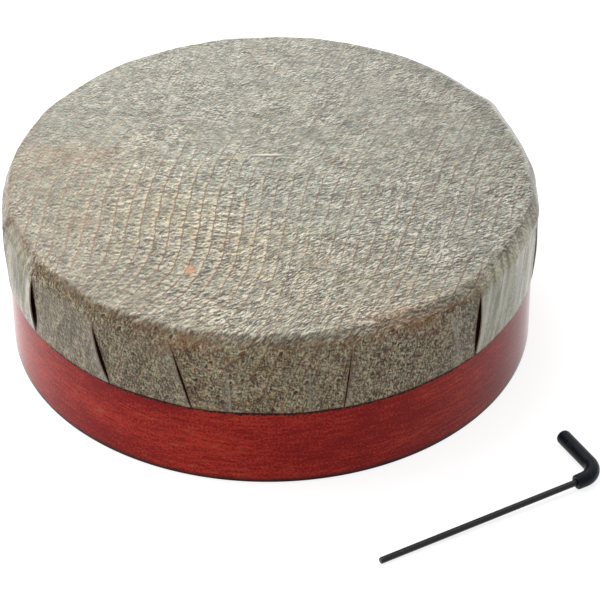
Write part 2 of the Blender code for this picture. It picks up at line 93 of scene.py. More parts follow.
# Puckers of the fold and ridges of the skirt: azimuth, half width (degrees), how far they stand out (metres)
# and how soon they die away down the skirt.
PUCKERS = (
    (-149.0, 4.0, 0.0004, 1.5), (-126.0, 5.0, 0.0005, 1.5), (-109.0, 4.0, 0.0003, 1.5),
    (-43.0, 4.0, 0.0006, 1.5), (-10.0, 5.0, 0.0009, 1.5), (28.5, 4.0, 0.0013, 1.5),
    (58.0, 5.0, 0.0005, 1.5), (79.0, 4.0, 0.0005, 1.5), (100.0, 4.0, 0.0005, 1.5),
    (124.0, 4.0, 0.0003, 1.5), (150.0, 4.0, 0.0003, 1.5), (190.0, 5.0, 0.0004, 1.5),
    (-156.0, 1.8, 0.0007, 0.5), (-167.0, 2.0, 0.0006, 0.5), (-34.5, 1.5, 0.0004, 0.5),
    (-28.0, 1.8, 0.0005, 0.6), (-19.5, 1.6, 0.0005, 0.5),
)
# Flaps of the skirt that are paler and smoother: number of the slit before each, and by how much.
PALE_FLAPS = ((0, 0.20), (6, 0.12), (7, 1.00), (8, 0.90), (9, 0.55), (18, 0.85))


def linear(red, green, blue):
    """A display colour in 0 to 255 as the linear light that a shader works in."""
    parts = np.array((red, green, blue)) / 255.0
    return tuple(np.where(parts <= 0.04045, parts / 12.92, ((parts + 0.055) / 1.055) ** 2.4))


def amount(name, description, default, **kind):
    """A number; kind may give its unit or subtype."""
    return FloatProperty(name=name, description=description, default=default, **kind)


def length(name, description, default):
    return amount(name, description, default, unit="LENGTH", precision=5)


def place(name, description, *default):
    return FloatVectorProperty(name=name, description=description, default=default, size=len(default),
                               unit="LENGTH", precision=5)


def colour(name, description, red, green, blue):
    return FloatVectorProperty(name=name, description=description, default=linear(red, green, blue),
                               size=3, min=0.0, max=1.0, subtype="COLOR")


class SkinSettings(bpy.types.PropertyGroup):
    film: length("Film", "Thickness of the skin film", 0.0005)
    seat: length("Seat", "Gap between the skin and the shell", 0.0003)
    crown: length("Crown radius", "Radius at which the flat face ends over the ring", 0.0794)
    line_pitch: length("Line pitch", "Spacing of the thin growth lines", 0.0047)
    lean_wave: length("Lean wave", "Length over which the growth lines' lean swings once", 0.12)
    line_share: amount("Line share", "How plain the growth lines are", 0.85)
    grain_width: length("Grain width", "Size of the small grains across the growth lines", 0.00128)
    grain_height: length("Grain height", "Size of the small grains along the growth lines", 0.00088)
    far_narrowing: amount("Far narrowing", "How much narrower the grains are at the back and the left", 1.5)
    scale_width: length("Scale width", "Size of the face's scales across the growth lines", 0.0012)
    scale_height: length("Scale height", "Size of the face's scales along the growth lines", 0.0009)
    rung_pitch: length("Rung pitch", "Size of the rungs along the growth lines", 0.00155)
    pebble_width: length("Pebble width", "Size of the skirt's grains round the drum", 0.00066)
    pebble_height: length("Pebble height", "Size of the skirt's grains down the wall", 0.00092)
    chip_pitch: length("Chip pitch", "Size of the skirt's single-toned specks", 0.00085)
    pore_pitch: length("Pore pitch", "Spacing of the dark pores on the skirt", 0.0030)
    relief: length("Relief", "Depth of the embossed scales", 0.00011)
    contrast: amount("Contrast", "Light and shade printed on the scales", 1.45)
    skirt_contrast: amount("Skirt contrast", "Light and shade on the skirt", 1.75)
    rough: amount("Roughness", "Dullness of the face", 0.48, subtype="FACTOR")
    skirt_rough: amount("Skirt roughness", "Dullness of the skirt", 0.24, subtype="FACTOR")
    dark: colour("Dark", "Deepest shade of the print", 62, 58, 54)
    shadow: colour("Shadow", "Shaded side of a scale", 122, 118, 107)
    middle: colour("Middle", "Mean colour of the print", 166, 162, 147)
    light: colour("Light", "Lit side of a scale", 208, 204, 187)
    pale: colour("Pale", "Palest crest of a scale", 250, 247, 233)
    brown: colour("Growth line", "Colour of the growth lines", 122, 94, 81)
    faded: colour("Faded line", "Colour of the growth lines at the left edge", 158, 122, 104)
    moss: colour("Grey-green", "Cool grey-green of the broad mottling", 150, 154, 140)
    # Also laid on the cut edges, where it is partly painted shade.
    rust: colour("Rubbed fold", "Brown of the rubbed fold and the cut edges", 128, 96, 74)
    warm: colour("Warm stain", "Orange-brown of the warm stains", 176, 128, 92)
    rung: colour("Rungs", "Pale rungs beside the growth lines", 218, 200, 166)
    # The skirt's tints are partly the print's own warmer colour, partly painted shade of the upright skirt.
    skirt_tint: colour("Skirt tint", "What the skirt's lighter parts keep of the print", 244, 239, 226)
    skirt_shade: colour("Skirt shade", "What the skirt's darker parts keep of the print", 255, 224, 204)
    flap: colour("Pale flap", "Lighter colour of the smoother flaps", 238, 233, 202)
    flap_shade: colour("Flap shade", "Darker colour of the smoother flaps", 176, 171, 140)
    # Painted highlight on the lifted edges of flaps and along closed slits.
    lit: colour("Lifted edge", "Pale strip on a flap's lifted edge", 196, 194, 180)


class ShellSettings(bpy.types.PropertyGroup):
    wall: length("Wall", "Thickness of the shell's wall", 0.007)
    top_round: length("Top round", "Rounding of the top outer edge", 0.001)
    top_taper: length("Top taper", "How far the wall draws in at the top", 0.002)
    taper_height: length("Taper height", "Height of the drawn-in part", 0.0055)
    base_round: length("Base round", "Rounding of the base edges", 0.0006)
    slot_length: length("Slot length", "Length of the jingle slot", 0.052)
    slot_height: length("Slot height", "Height of the jingle slot", 0.014)
    slot_floor: length("Slot floor", "Height of the slot's floor over the base", 0.00775)
    gloss: amount("Varnish", "Roughness of the varnish", 0.12, subtype="FACTOR")
    deep: colour("Deep red", "Darker stain", 158, 1, 1)
    bright: colour("Bright red", "Lighter stain", 214, 58, 40)
    ember: colour("Ember", "Orange flecks of the stain", 206, 103, 65)
    # Also the colour of the painted shadow line just below the skirt's hem.
    edge: colour("Base edge", "Dark line round the base", 30, 14, 12)
    # Painted shade: brown laid on the wall under the skirt, seen dark in the slits.
    skirt_shadow: colour("Underskirt_shade", "Brown wall under the skirt", 84, 56, 44)
    raw: colour("Raw wall", "Unvarnished inside", 112, 74, 52)
    raw_dark: colour("Raw grain", "Darker fibres of the inside", 74, 44, 32)


class TuningSettings(bpy.types.PropertyGroup):
    pitch: length("Thread pitch", "Rise of the tuning screws per turn", 0.0007)
    socket: length("Socket", "Across flats of the hexagon socket", 0.00212)
    ply: colour("Ply", "Sanded ply of the tuning ring", 196, 160, 116)
    ply_dark: colour("Ply seams", "Darker veneers of the ring", 148, 108, 72)
    zinc: colour("Zinc", "Plated bracket and fixing steel", 172, 174, 178)
    oxide: colour("Oxide", "Black oxide of the tuning screws", 44, 44, 47)


class JingleSettings(bpy.types.PropertyGroup):
    plate: length("Plate", "Thickness of the jingle metal", 0.0008)
    cup_radius: length("Cup radius", "Radius of the raised cup", 0.009)
    cup_height: length("Cup height", "Height of the raised cup", 0.0035)
    hole: length("Hole radius", "Radius of the centre hole", 0.0025)
    metal: colour("Metal", "Nickel silver of the jingles", 206, 198, 178)
    tarnish: colour("Tarnish", "Darker tarnish in the grooves", 142, 126, 98)


class KeySettings(bpy.types.PropertyGroup):
    flats: length("Across flats", "Size of the hexagon rod", 0.002)
    long_arm: length("Long arm", "From the corner to the tip", 0.0813)
    short_arm: length("Short arm", "From the corner to the grip's end", 0.0218)
    bend: length("Bend radius", "Radius of the bend's middle line", 0.0059)
    corner: place("Corner", "Where the two arms' lines meet, on the ground", 0.10445, -0.0900)
    heading: amount("Heading", "Direction of the long arm", math.radians(-152.2), unit="ROTATION")
    wall: length("Grip wall", "Thickness of the dipped grip", 0.00105)
    cover: length("Grip cover", "How far the grip runs along the long arm", 0.0087)
    steel: colour("Steel", "Black oxide of the rod", 50, 50, 53)
    vinyl: colour("Vinyl", "Black of the dipped grip", 15, 15, 17)


class StageSettings(bpy.types.PropertyGroup):
    eye: place("Eye", "Camera position from the centre of the base", 0.0, -0.78095, 0.60035)
    lens: amount("Lens", "Focal length on a 36 mm wide film, in millimetres", 170.2)
    pan: amount("Pan", "Turn of the view to the right", 0.010, unit="ROTATION")
    tilt: amount("Tilt", "Turn of the view upwards", 0.005, unit="ROTATION")
    roll: amount("Roll", "Roll of the view", -0.0159, unit="ROTATION")
    sky: amount("Sky", "Strength of the soft light from all round", 0.60)
    dim: amount("Dim side", "Share of the sky's light left on the right in front", 0.5)
    key: amount("Key light", "Power of the overhead panel in watts", 10.0)
    floor: colour("Floor", "Colour that the floor sheds on the object", 184, 184, 184)
    lift: amount("Floor lift", "Share of the floor's white that no shadow takes", 0.80)


SETTINGS = {"kanjira_skin": SkinSettings, "kanjira_shell": ShellSettings, "kanjira_tuning": TuningSettings,
            "kanjira_jingle": JingleSettings, "kanjira_key": KeySettings, "kanjira_stage": StageSettings}


class Field:
    """One output of a node tree; arithmetic on fields makes Math nodes."""

    def __init__(self, recipe, socket):
        self.recipe = recipe
        self.socket = socket

    def __add__(self, other):
        return self.recipe.math("ADD", self, other)

    def __sub__(self, other):
        return self.recipe.math("SUBTRACT", self, other)

    def __rsub__(self, other):
        return self.recipe.math("SUBTRACT", other, self)

    def __mul__(self, other):
        return self.recipe.math("MULTIPLY", self, other)

    def __truediv__(self, other):
        return self.recipe.math("DIVIDE", self, other)

    def __abs__(self):
        return self.recipe.math("ABSOLUTE", self)

    __radd__ = __add__
    __rmul__ = __mul__


class Recipe:
    """The node tree of a material or world, built by short calls that return fields."""

    def __init__(self, owner, shader="Principled BSDF"):
        owner.use_nodes = True
        self.owner = owner
        self.tree = owner.node_tree
        self.shader = self.tree.nodes[shader]

    def feed(self, socket, value):
        """Link a field to an input, or set the input to a constant."""
        if isinstance(value, Field):
            self.tree.links.new(value.socket, socket)
        else:
            socket.default_value = value

    def node(self, kind, inputs=(), **settings):
        """A new node with its settings, its inputs fed with fields or constants."""
        made = self.tree.nodes.new(kind)
        for key, value in settings.items():
            setattr(made, key, value)
        for key, value in dict(inputs).items():
            self.feed(made.inputs[key], value)
        return made

    def add(self, kind, inputs=(), out=0, **settings):
        """One output of a new node."""
        return Field(self, self.node(kind, inputs, **settings).outputs[out])

    def set(self, **values):
        """Feed the shader's own inputs, named with _ for spaces."""
        for key, value in values.items():
            self.feed(self.shader.inputs[key.replace("_", " ")], value)

    def math(self, operation, first, second=0.0):
        return self.add("ShaderNodeMath", {0: first, 1: second}, operation=operation)

    def most(self, first, second):
        return self.math("MAXIMUM", first, second)

    def least(self, first, second):
        return self.math("MINIMUM", first, second)

    def radius(self, x, y):
        return self.math("SQRT", x * x + y * y)

    def smooth(self, value, low, high):
        """0 below low, 1 above high, eased between."""
        return self.add("ShaderNodeMapRange", {"Value": value, "From Min": low, "From Max": high},
                        interpolation_type="SMOOTHSTEP")

    def mix(self, share, first, second, blend="MIX"):
        first, second = (shade if isinstance(shade, Field) else (*shade, 1.0) for shade in (first, second))
        inputs = {0: share, 6: first, 7: second}
        return self.add("ShaderNodeMix", inputs, 2, data_type="RGBA", blend_type=blend)

    def ramp(self, share, *stops):
        """A colour ramp through stops of a place and a colour each."""
        made = self.node("ShaderNodeValToRGB", {"Fac": share})
        points = made.color_ramp.elements
        while len(points) < len(stops):
            points.new(0.5)
        for point, (at, shade) in zip(points, stops):
            point.position = at
            point.color = (*shade, 1.0)
        return Field(self, made.outputs["Color"])

    def noise(self, vector, scale, detail=2.0, roughness=0.5, distortion=0.0, out="Fac"):
        inputs = {"Vector": vector, "Scale": scale, "Detail": detail, "Roughness": roughness,
                  "Distortion": distortion}
        return self.add("ShaderNodeTexNoise", inputs, out)

    def blotches(self, vector, offset, scale, low, high, detail=3.0, roughness=0.6):
        """Soft-edged blotches, from a part of the noise of their own."""
        return self.smooth(self.noise(self.shifted(vector, *offset), scale, detail, roughness), low, high)

    def cells(self, vector, scale=1.0, randomness=1.0):
        """Distance to the nearest of scattered points, and that point's own random colour."""
        made = self.node("ShaderNodeTexVoronoi", {"Vector": vector, "Scale": scale, "Randomness": randomness})
        return Field(self, made.outputs["Distance"]), Field(self, made.outputs["Color"])

    def vector(self, x=0.0, y=0.0, z=0.0):
        return self.add("ShaderNodeCombineXYZ", {0: x, 1: y, 2: z})

    def split(self, vector):
        return [Field(self, socket) for socket in self.node("ShaderNodeSeparateXYZ", {0: vector}).outputs]

    def arrow(self, operation, *vectors, out="Vector"):
        return self.add("ShaderNodeVectorMath", dict(enumerate(vectors)), out, operation=operation)

    def norm(self, vector):
        return self.arrow("LENGTH", vector, out="Value")

    def shifted(self, vector, x, y, z=0.0):
        return self.arrow("ADD", vector, (x, y, z))

    def stretched(self, vector, x, y, z=1.0):
        return self.arrow("MULTIPLY", vector, (x, y, z))

    def sway(self, vector, scale, reach):
        """The vector moved about by a soft noise, up to half the reach each way."""
        off = self.shifted(self.noise(vector, scale, out="Color"), -0.5, -0.5, -0.5)
        return self.arrow("MULTIPLY_ADD", off, (reach,) * 3, vector)

    def emboss(self, vector, step, *look):
        """Noise at the upper left less noise at the lower right, about -0.4 to 0.4."""
        ahead = self.noise(self.shifted(vector, *step), 1.0, *look)
        behind = self.noise(self.shifted(vector, -step[0], -step[1]), 1.0, *look)
        return ahead - behind

    def spot(self, vector, centre, radii, soft):
        """1 inside an ellipse of the sheet, easing to 0 over the soft share on either side of its edge."""
        off = self.shifted(vector, -centre[0], -centre[1])
        out = self.norm(self.stretched(off, 1 / radii[0], 1 / radii[1], 0.0))
        return 1 - self.smooth(out, 1.0 - soft, 1.0 + soft)

    def uv(self, name):
        return self.add("ShaderNodeUVMap", uv_map=name)

    def attribute(self, name):
        return self.add("ShaderNodeAttribute", out="Fac", attribute_name=name)

    def place(self, kind="Object"):
        return self.add("ShaderNodeTexCoord", out=kind)

    def bump(self, height, depth):
        return self.add("ShaderNodeBump", {"Height": height, "Distance": depth, "Strength": 1.0})

    def seen(self):
        """1 for camera, glossy and transmission rays, 0 for the rest."""
        path = self.node("ShaderNodeLightPath")
        camera, glossy, through = (Field(self, path.outputs[f"Is {kind} Ray"])
                                   for kind in ("Camera", "Glossy", "Transmission"))
        return self.most(self.most(camera, glossy), through)


def new_material(name):
    return Recipe(bpy.data.materials.new(name))


def skin_places(r):
    """Where a point of the film lies: its coordinates, the flap's own attributes, and soft masks.

    Flat coordinates are those of the sheet before the fold, x and y the same moved about a little, and polar
    its turn and reach from the middle. The skirt's marks and darker colouring start nearer the middle on the
    left and further out on the right, painted light and shade of the slope before the fold, so
    folded is the reach less a share of x. Masks are 1 in their part of the film: skirt and wall
    past the fold, rear, front and leftward on the face, and kept where a pale flap doesn't smooth the grain
    away.
    """
    at = SimpleNamespace(sheet=r.uv("sheet"), wrap=r.uv("wrap"), flap=r.attribute("flap_tone"),
                         lit=r.attribute("lit_edge"), cut=r.attribute("cut_edge_and_shade"))
    at.flat_x, at.flat_y, _ = r.split(at.sheet)
    at.x, at.y, _ = r.split(r.sway(at.sheet, 90.0, 0.0022))
    reach = r.norm(at.sheet)
    at.polar = r.vector(r.math("ARCTAN2", at.flat_y, at.flat_x), reach)
    # Painted light and shade: the skirt's colouring begins about 2 mm sooner on the left and later on the
    # right.
    at.folded = reach - 0.026 * at.flat_x
    at.skirt = r.smooth(at.folded, 0.0872, 0.0915)
    at.wall = r.smooth(at.folded, 0.0890, 0.0930)
    at.kept = 1 - 0.55 * at.flap
    at.rear = r.smooth(at.flat_y, -0.005, 0.045)
    at.front = 1 - r.smooth(at.flat_y, -0.085, 0.05)
    at.leftward = 1 - r.smooth(at.flat_x, -0.07, -0.02)
    at.grit = r.noise(r.stretched(at.sheet, 0.55, 1.0), 2300.0, 2.0, 0.7) - 0.5
    return at


def growth_lines(r, s, at):
    """Thin growth lines and the pale strips on their left as masks, and the lanes that the lines part.

    Lines stand one pitch apart where x - shift(y) is a whole number of pitches. The shift adds up a lean that
    swings with y as a sine, lines in front on the left sweep off with the square of y, and a fine noise makes
    all ragged. They are plainest at the lower left and lower right, patchy elsewhere and faint at the back.
    """
    right_half = r.smooth(at.x, -0.005, 0.035)
    mean = 0.24 + 0.07 * right_half
    swing = 0.16 - 0.09 * right_half
    phase = (at.y - 0.002) * (TAU / s.lean_wave)
    shift = r.math("COSINE", phase) * swing * (-s.lean_wave / TAU) + mean * at.y
    past = r.most(-0.04 - at.y, 0.0)
    sweep = past * past * (1 - r.smooth(at.x, -0.045, 0.0))
    at.across = at.x - 0.5 * shift
    at.lane = (at.x - (shift - 8.0 * sweep)) / s.line_pitch
    jag = r.noise(at.sheet, 620.0, 2.0, 0.6) - 0.5
    off = r.math("FRACT", at.lane + 0.3 * jag) - 0.5

    lower_left = r.spot(at.sheet, (-0.034, -0.040), (0.036, 0.048), 0.5)
    lower_right = r.spot(at.sheet, (0.042, -0.048), (0.020, 0.015), 0.5)
    at.clear = r.most(lower_left, 0.45 * lower_right)
    patchy = r.blotches(at.sheet, (0.0, 0.0), 60.0, 0.36, 0.58, 2.0, 0.5)
    share = (0.4 + 0.6 * patchy) * s.line_share * (1 - 0.45 * at.rear)
    plainest = 0.95 * r.most(lower_left, lower_right)
    at.line = (1 - r.smooth(abs(off), 0.015, 0.085)) * r.most(share, plainest)
    strip = r.smooth(off, -0.46, -0.16) * (1 - r.smooth(off, -0.07, -0.01))
    strip = strip * r.most(share, 0.9 * at.clear) * (0.45 + 0.55 * at.clear)
    at.strip = strip * (1 - 0.4 * at.leftward)


def face_tone(r, s, at):
    """Light and shade on the face: rungs right across the lanes where the lines are clear, else small grains.

    The print holds the light and shade of the hide it was taken from, so a grain's tone is the noise on its
    upper left less that on its lower right. Grains are narrower at the back and the left. A mosaic of scales,
    each of one tone, and dark gaps between groups of grains lie over them.
    """
    squat = 0.68 + 0.32 * r.smooth(at.x, -0.07, 0.03) + 0.18 * at.rear
    level = 0.3 * at.y + 0.7 * at.flat_y
    slant = level - 0.4 * r.most(at.x + 0.01, 0.0)
    at.grain = r.vector(at.across / s.grain_width, slant * (squat / s.grain_height))
    look = ((-0.10, 0.34), 2.0, 0.65, 0.25)
    grain = r.emboss(at.grain, *look)
    far_grain = r.emboss(r.stretched(at.grain, s.far_narrowing, 1.0), *look)
    far = r.most(at.rear, at.leftward)
    grain = grain + (far_grain - grain) * far
    scale_at = r.vector(at.across / s.scale_width, slant / s.scale_height)
    _, scales = r.cells(r.sway(scale_at, 1.3, 0.8))
    scale_light, at.scale_blue, at.scale_brown = r.split(scales)
    gaps = r.noise(r.stretched(at.grain, 0.45, 0.75), 1.0, 2.0, 0.6, 0.4)
    gap = 1 - r.smooth(abs(gaps - 0.5), 0.0, 0.045)
    at.rung = r.emboss(r.vector(1.9 * at.lane, at.y / s.rung_pitch), (-0.05, 0.30), 1.0, 0.5, 0.5)
    lumps = r.noise(r.stretched(at.grain, 0.40, 0.45), 1.0, 2.0) - 0.5
    worn = r.blotches(at.sheet, (0.0, 0.0), 70.0, 0.34, 0.66)
    strength = (0.76 + 0.24 * at.rear + 0.52 * at.front) * (1 - 0.34 * at.leftward)
    strength = strength * (0.7 + 0.5 * worn) * (1 - 0.2 * at.clear)
    tone = grain * strength * s.contrast + at.rung * (0.12 + 0.5 * at.clear) + lumps * (0.75 - 0.45 * far)
    mosaic = 0.46 * (scale_light - 0.44) - 0.2 * gap
    return tone + mosaic * strength


def skirt_tone(r, s, at):
    """Light and shade on the skirt: upright scales, clods of them and single-toned chips."""
    at.round, at.down, _ = r.split(r.sway(at.wrap, 400.0, 0.0012))
    at.leant = r.vector(at.round + 0.3 * at.down, at.down)
    at.upright = r.stretched(at.leant, 1 / s.pebble_width, 1 / s.pebble_height)
    scales = r.emboss(at.upright, (-0.24, 0.20), 2.0, 0.6, 0.4)
    clods = r.noise(r.stretched(at.upright, 0.4, 0.4), 1.0, 2.0) - 0.5
    _, chips = r.cells(r.stretched(at.leant, 1.0, 0.7), 1 / s.chip_pitch)
    chip_light, at.chip_blue, at.chip_brown = r.split(chips)
    central = 1 - r.smooth(abs(at.flat_x), 0.012, 0.045)
    bolder = 1.16 + 0.5 * r.smooth(at.flat_x, 0.0, 0.06) - 0.2 * central + 0.25 * at.leftward
    tone = (scales * s.skirt_contrast + clods + 0.32 * (chip_light - 0.5)) * at.kept * bolder
    return tone - 0.04 * at.kept + 0.045 * central


def pores_and_bands(r, s, at):
    """Pores of the skirt, each a dark middle with a light crescent, and soft light and dark bands down the
    skirt, strongest on the smooth flaps: the print's streaks with painted shading of soft folds.
    """
    pore_at = r.stretched(at.leant, 1 / s.pore_pitch, 0.75 / s.pore_pitch)
    off, cell = r.cells(pore_at, randomness=0.9)
    beside, _ = r.cells(r.shifted(pore_at, 0.05, -0.11))
    middle = 1 - r.smooth(off, 0.06, 0.3)
    crescent = (1 - r.smooth(abs(beside - 0.36), 0.0, 0.14)) * r.smooth(beside - off, -0.08, 0.08)
    some = r.smooth(r.split(cell)[0], 0.10, 0.50)
    pore = (0.5 * crescent - 1.2 * middle) * some * at.skirt * at.kept
    # Painted light and shade of soft folds down the flaps, over the print's own streaks.
    band_at = r.vector(at.round + 0.32 * at.down, 0.1 * at.down)
    bands = r.noise(band_at, 420.0, 3.0, 0.6) - 0.5
    return pore + bands * (0.35 * at.skirt + 4.4 * at.flap)


def print_coats(r, s, at):
    """Colours over the print's tones, in order: how much of each and where, its colour, how it is laid on. A
    darker right and a paler back of the face are painted shade and light.
    """
    yield 0.18 + 0.25 * at.skirt, r.noise(at.sheet, 420.0, 3.0, 0.65, out="Color"), "OVERLAY"
    cool = r.blotches(at.sheet, (0.31, 0.12), 170.0, 0.44, 0.66)
    yield 0.5 * cool, (0.86, 0.95, 1.0), "MULTIPLY"
    yield 0.45 * r.smooth(at.scale_brown, 0.55, 0.95), (1.0, 0.90, 0.82), "MULTIPLY"
    yield 0.45 * r.smooth(at.scale_blue, 0.55, 0.95), (0.86, 0.95, 1.0), "MULTIPLY"
    on_skirt = at.wall * at.kept
    yield 0.55 * on_skirt * r.smooth(at.chip_blue, 0.55, 0.95), (0.86, 0.97, 0.90), "MULTIPLY"
    yield 0.65 * on_skirt * r.smooth(at.chip_brown, 0.60, 0.95), (1.0, 0.84, 0.76), "MULTIPLY"
    gold = r.blotches(at.sheet, (0.57, 0.44), 170.0, 0.50, 0.72)
    yield 0.5 * gold, (1.0, 0.92, 0.76), "MULTIPLY"
    broad = r.blotches(at.sheet, (0.91, 0.23), 34.0, 0.35, 0.70, roughness=0.55)
    yield 0.22 * broad, s.moss, "MIX"
    yield at.strip * (0.28 + 1.2 * at.rung), s.rung, "MIX"
    yield 0.85 * at.line, r.mix(at.leftward, s.brown, s.faded), "MIX"
    handled = 1 - r.smooth(at.flat_y + 0.6 * at.flat_x, -0.05, 0.0)
    yield handled, (1.0, 0.95, 0.89), "MULTIPLY"
    # Painted shade: the face darker towards the right, away from the light.
    yield r.smooth(at.flat_x, -0.02, 0.085), (0.85, 0.845, 0.85), "MULTIPLY"
    # Painted light: the back of the face paler and bluer.
    yield 0.1 * r.smooth(at.flat_y, 0.0, 0.085), linear(208, 206, 200), "MIX"
    fold = 1 - r.smooth(abs(at.folded - 0.0902), 0.0010, 0.0042)
    rubbed = r.blotches(at.sheet, (0.15, 0.66), 130.0, 0.35, 0.60, detail=2.0)
    yield 0.6 * fold * rubbed * r.smooth(at.chip_brown, 0.45, 0.60) * at.kept, s.rust, "MIX"


def patches(r, at):
    """Broad patches of the face a little lighter or darker than the rest, as coats."""
    ragged = r.sway(at.sheet, 150.0, 0.012)
    table = (
        ((-0.052, 0.010), (0.030, 0.014), (1.07, 1.055, 1.04)),
        ((-0.040, 0.028), (0.014, 0.008), (1.05, 1.05, 1.05)),
        ((-0.0326, -0.0196), (0.015, 0.010), (1.07, 1.06, 1.01)),
        ((0.030, 0.012), (0.018, 0.010), (1.06, 1.06, 1.06)),
        ((-0.008, -0.038), (0.020, 0.010), (1.045, 1.035, 1.01)),
        ((-0.040, -0.058), (0.034, 0.016), (0.91, 0.905, 0.90)),
        ((-0.007, -0.008), (0.012, 0.010), (0.95, 0.965, 0.98)),
        ((0.047, -0.050), (0.018, 0.010), (0.955, 0.955, 0.955)),
    )
    for centre, radii, tint in table:
        yield r.spot(ragged, centre, radii, 0.8), tint, "MULTIPLY"


def marks(r, s, at):
    """Stains and scars of the print, as coats: warm stains, an orange dot, a scratch and two ring marks."""
    ragged = r.sway(at.sheet, 260.0, 0.009)
    stains = (((-0.0657, 0.013), (0.012, 0.005), 0.22), ((-0.063, -0.026), (0.005, 0.004), 0.25),
              ((0.0449, -0.0785), (0.016, 0.004), 0.24), ((-0.030, -0.087), (0.011, 0.003), 0.25))
    for centre, radii, share in stains:
        yield share * r.spot(ragged, centre, radii, 0.8), s.warm, "MIX"
    dot = r.spot(r.sway(at.sheet, 900.0, 0.0025), (-0.0259, -0.0532), (0.0015, 0.0020), 0.5)
    yield 0.6 * dot, linear(236, 168, 120), "MIX"
    yield 0.5 * r.spot(at.sheet, (-0.0005, 0.0106), (0.0056, 0.0007), 0.4), linear(92, 86, 78), "MIX"
    yield 0.9 * r.spot(at.sheet, (-0.0005, 0.0114), (0.0054, 0.0005), 0.4), linear(236, 232, 216), "MIX"
    for centre, size in (((0.0561, -0.0451), 0.0013), ((0.0689, -0.0552), 0.0010)):
        middle = 0.45 * size
        yield 0.8 * r.spot(at.sheet, centre, (size, size), 0.35), linear(226, 221, 206), "MIX"
        yield 0.7 * r.spot(at.sheet, centre, (middle, middle), 0.3), linear(128, 122, 110), "MIX"


def flap_coats(r, s, at, tone):
    """Coats of the skirt, its flaps and the fold, some at set turns and reaches from the middle. Among them
    are painted shade, painted light, painted highlights and a painted reflection, each marked below.
    """
    plain = 1 - r.least(r.most(at.flap, 0.0), 1.0)
    # The skirt's warm tint: partly the print's own colour, partly painted shade of the upright skirt.
    yield at.skirt * plain, r.mix(r.smooth(tone, -0.40, 0.25), s.skirt_shade, s.skirt_tint), "MULTIPLY"
    yield 0.64 * at.flap, r.mix(r.smooth(tone, -0.45, 0.45), s.flap_shade, s.flap), "MIX"
    # Painted shade: the skirt darker on the left.
    yield at.skirt * (1 - r.smooth(at.flat_x, -0.050, -0.015)), (0.80, 0.79, 0.77), "MULTIPLY"
    # Painted highlights: pale strips on lifted flap edges and along closed slits.
    yield 0.55 * r.least(at.lit, 0.7), s.lit, "MIX"
    yield 0.7 * r.smooth(at.lit, 1.12, 1.45), s.lit, "MIX"
    beside_slit = r.spot(at.polar, (-0.62, 0.1060), (0.17, 0.0140), 0.6)
    yield beside_slit * at.flap, (0.74, 0.76, 0.69), "MULTIPLY"
    # Painted shade: a shaded hollow on the far left flap, which also loses some sheen.
    at.hollow = r.spot(at.polar, (-2.757, 0.1025), (0.080, 0.0115), 0.6)
    yield at.hollow, (0.62, 0.60, 0.50), "MULTIPLY"
    # Painted light: the fold at the front right made paler to cancel its shade.
    yield r.spot(at.polar, (-0.93, 0.0886), (0.42, 0.0040), 0.6), (1.24, 1.20, 1.17), "MULTIPLY"
    # Painted shade: a darker band on the slope before the fold at the back right.
    yield 0.55 * r.spot(at.polar, (0.62, 0.0830), (0.55, 0.0024), 0.6), (0.62, 0.62, 0.64), "MULTIPLY"
    # Painted reflection: a pale band along the fold at the back right, the glossy skirt mirroring white
    # surroundings.
    yield 0.7 * r.spot(at.polar, (0.45, 0.0874), (0.50, 0.0016), 0.5), linear(226, 226, 224), "MIX"
    # Brown of the cut edges, partly painted shade of their curled edges and along the hem.
    yield 0.6 * at.cut, s.rust, "MIX"


def skin_print(s):
    """The printed film, drawn on the sheet's own flat coordinates so that it runs over the fold uncut.

    Face and skirt each give a tone, which a ramp turns into the print's greys. Coats of colour go over it:
    mottling, the growth lines with the pale rungs on their left, painted shade towards the right and painted
    light at the back, broad patches, a few stains, a scratch and two ring marks at set places, and then the
    skirt's tints with some painted shade, its pale flaps, painted highlights on its lifted edges, painted
    light and shade about the fold and the flaps, and its cut edges, partly painted shade.
    """
    r = new_material("skin_print")
    at = skin_places(r)
    growth_lines(r, s, at)
    face = face_tone(r, s, at)
    skirt = skirt_tone(r, s, at)
    cloud = r.noise(r.shifted(at.sheet, 0.7, 0.2), 120.0, 3.0, 0.6) - 0.5
    tone = face + (skirt - face) * at.wall + 0.8 * at.grit + cloud * (0.55 + 0.45 * at.skirt)
    tone = tone + at.strip * (0.14 + at.rung) + pores_and_bands(r, s, at)
    shade = r.ramp(tone + 0.5, (0.0, s.dark), (0.28, s.shadow), (0.5, s.middle), (0.74, s.light),
                   (1.0, s.pale))
    coats = (print_coats(r, s, at), patches(r, at), marks(r, s, at), flap_coats(r, s, at, tone))
    for share, coat, way in chain(*coats):
        shade = r.mix(share, shade, coat, way)
    face_relief = r.noise(at.grain, 1.0, 2.0, 0.6, 0.6)
    skirt_relief = r.noise(at.upright, 1.0, 2.0, 0.6, 0.4)
    relief = face_relief + (skirt_relief - face_relief) * at.wall + 0.3 * at.grit - 0.3 * at.line
    relief = relief * at.kept * (1 + 0.25 * at.skirt)
    rough = s.rough + (s.skirt_rough - s.rough) * at.skirt + 0.2 * at.grit
    sheen = (0.5 + at.skirt * (0.4 - 0.75 * at.kept)) * (1 - 0.85 * at.hollow)
    r.set(Base_Color=shade, Roughness=rough, Normal=r.bump(relief, s.relief), Specular_IOR_Level=sheen)
    return r.owner


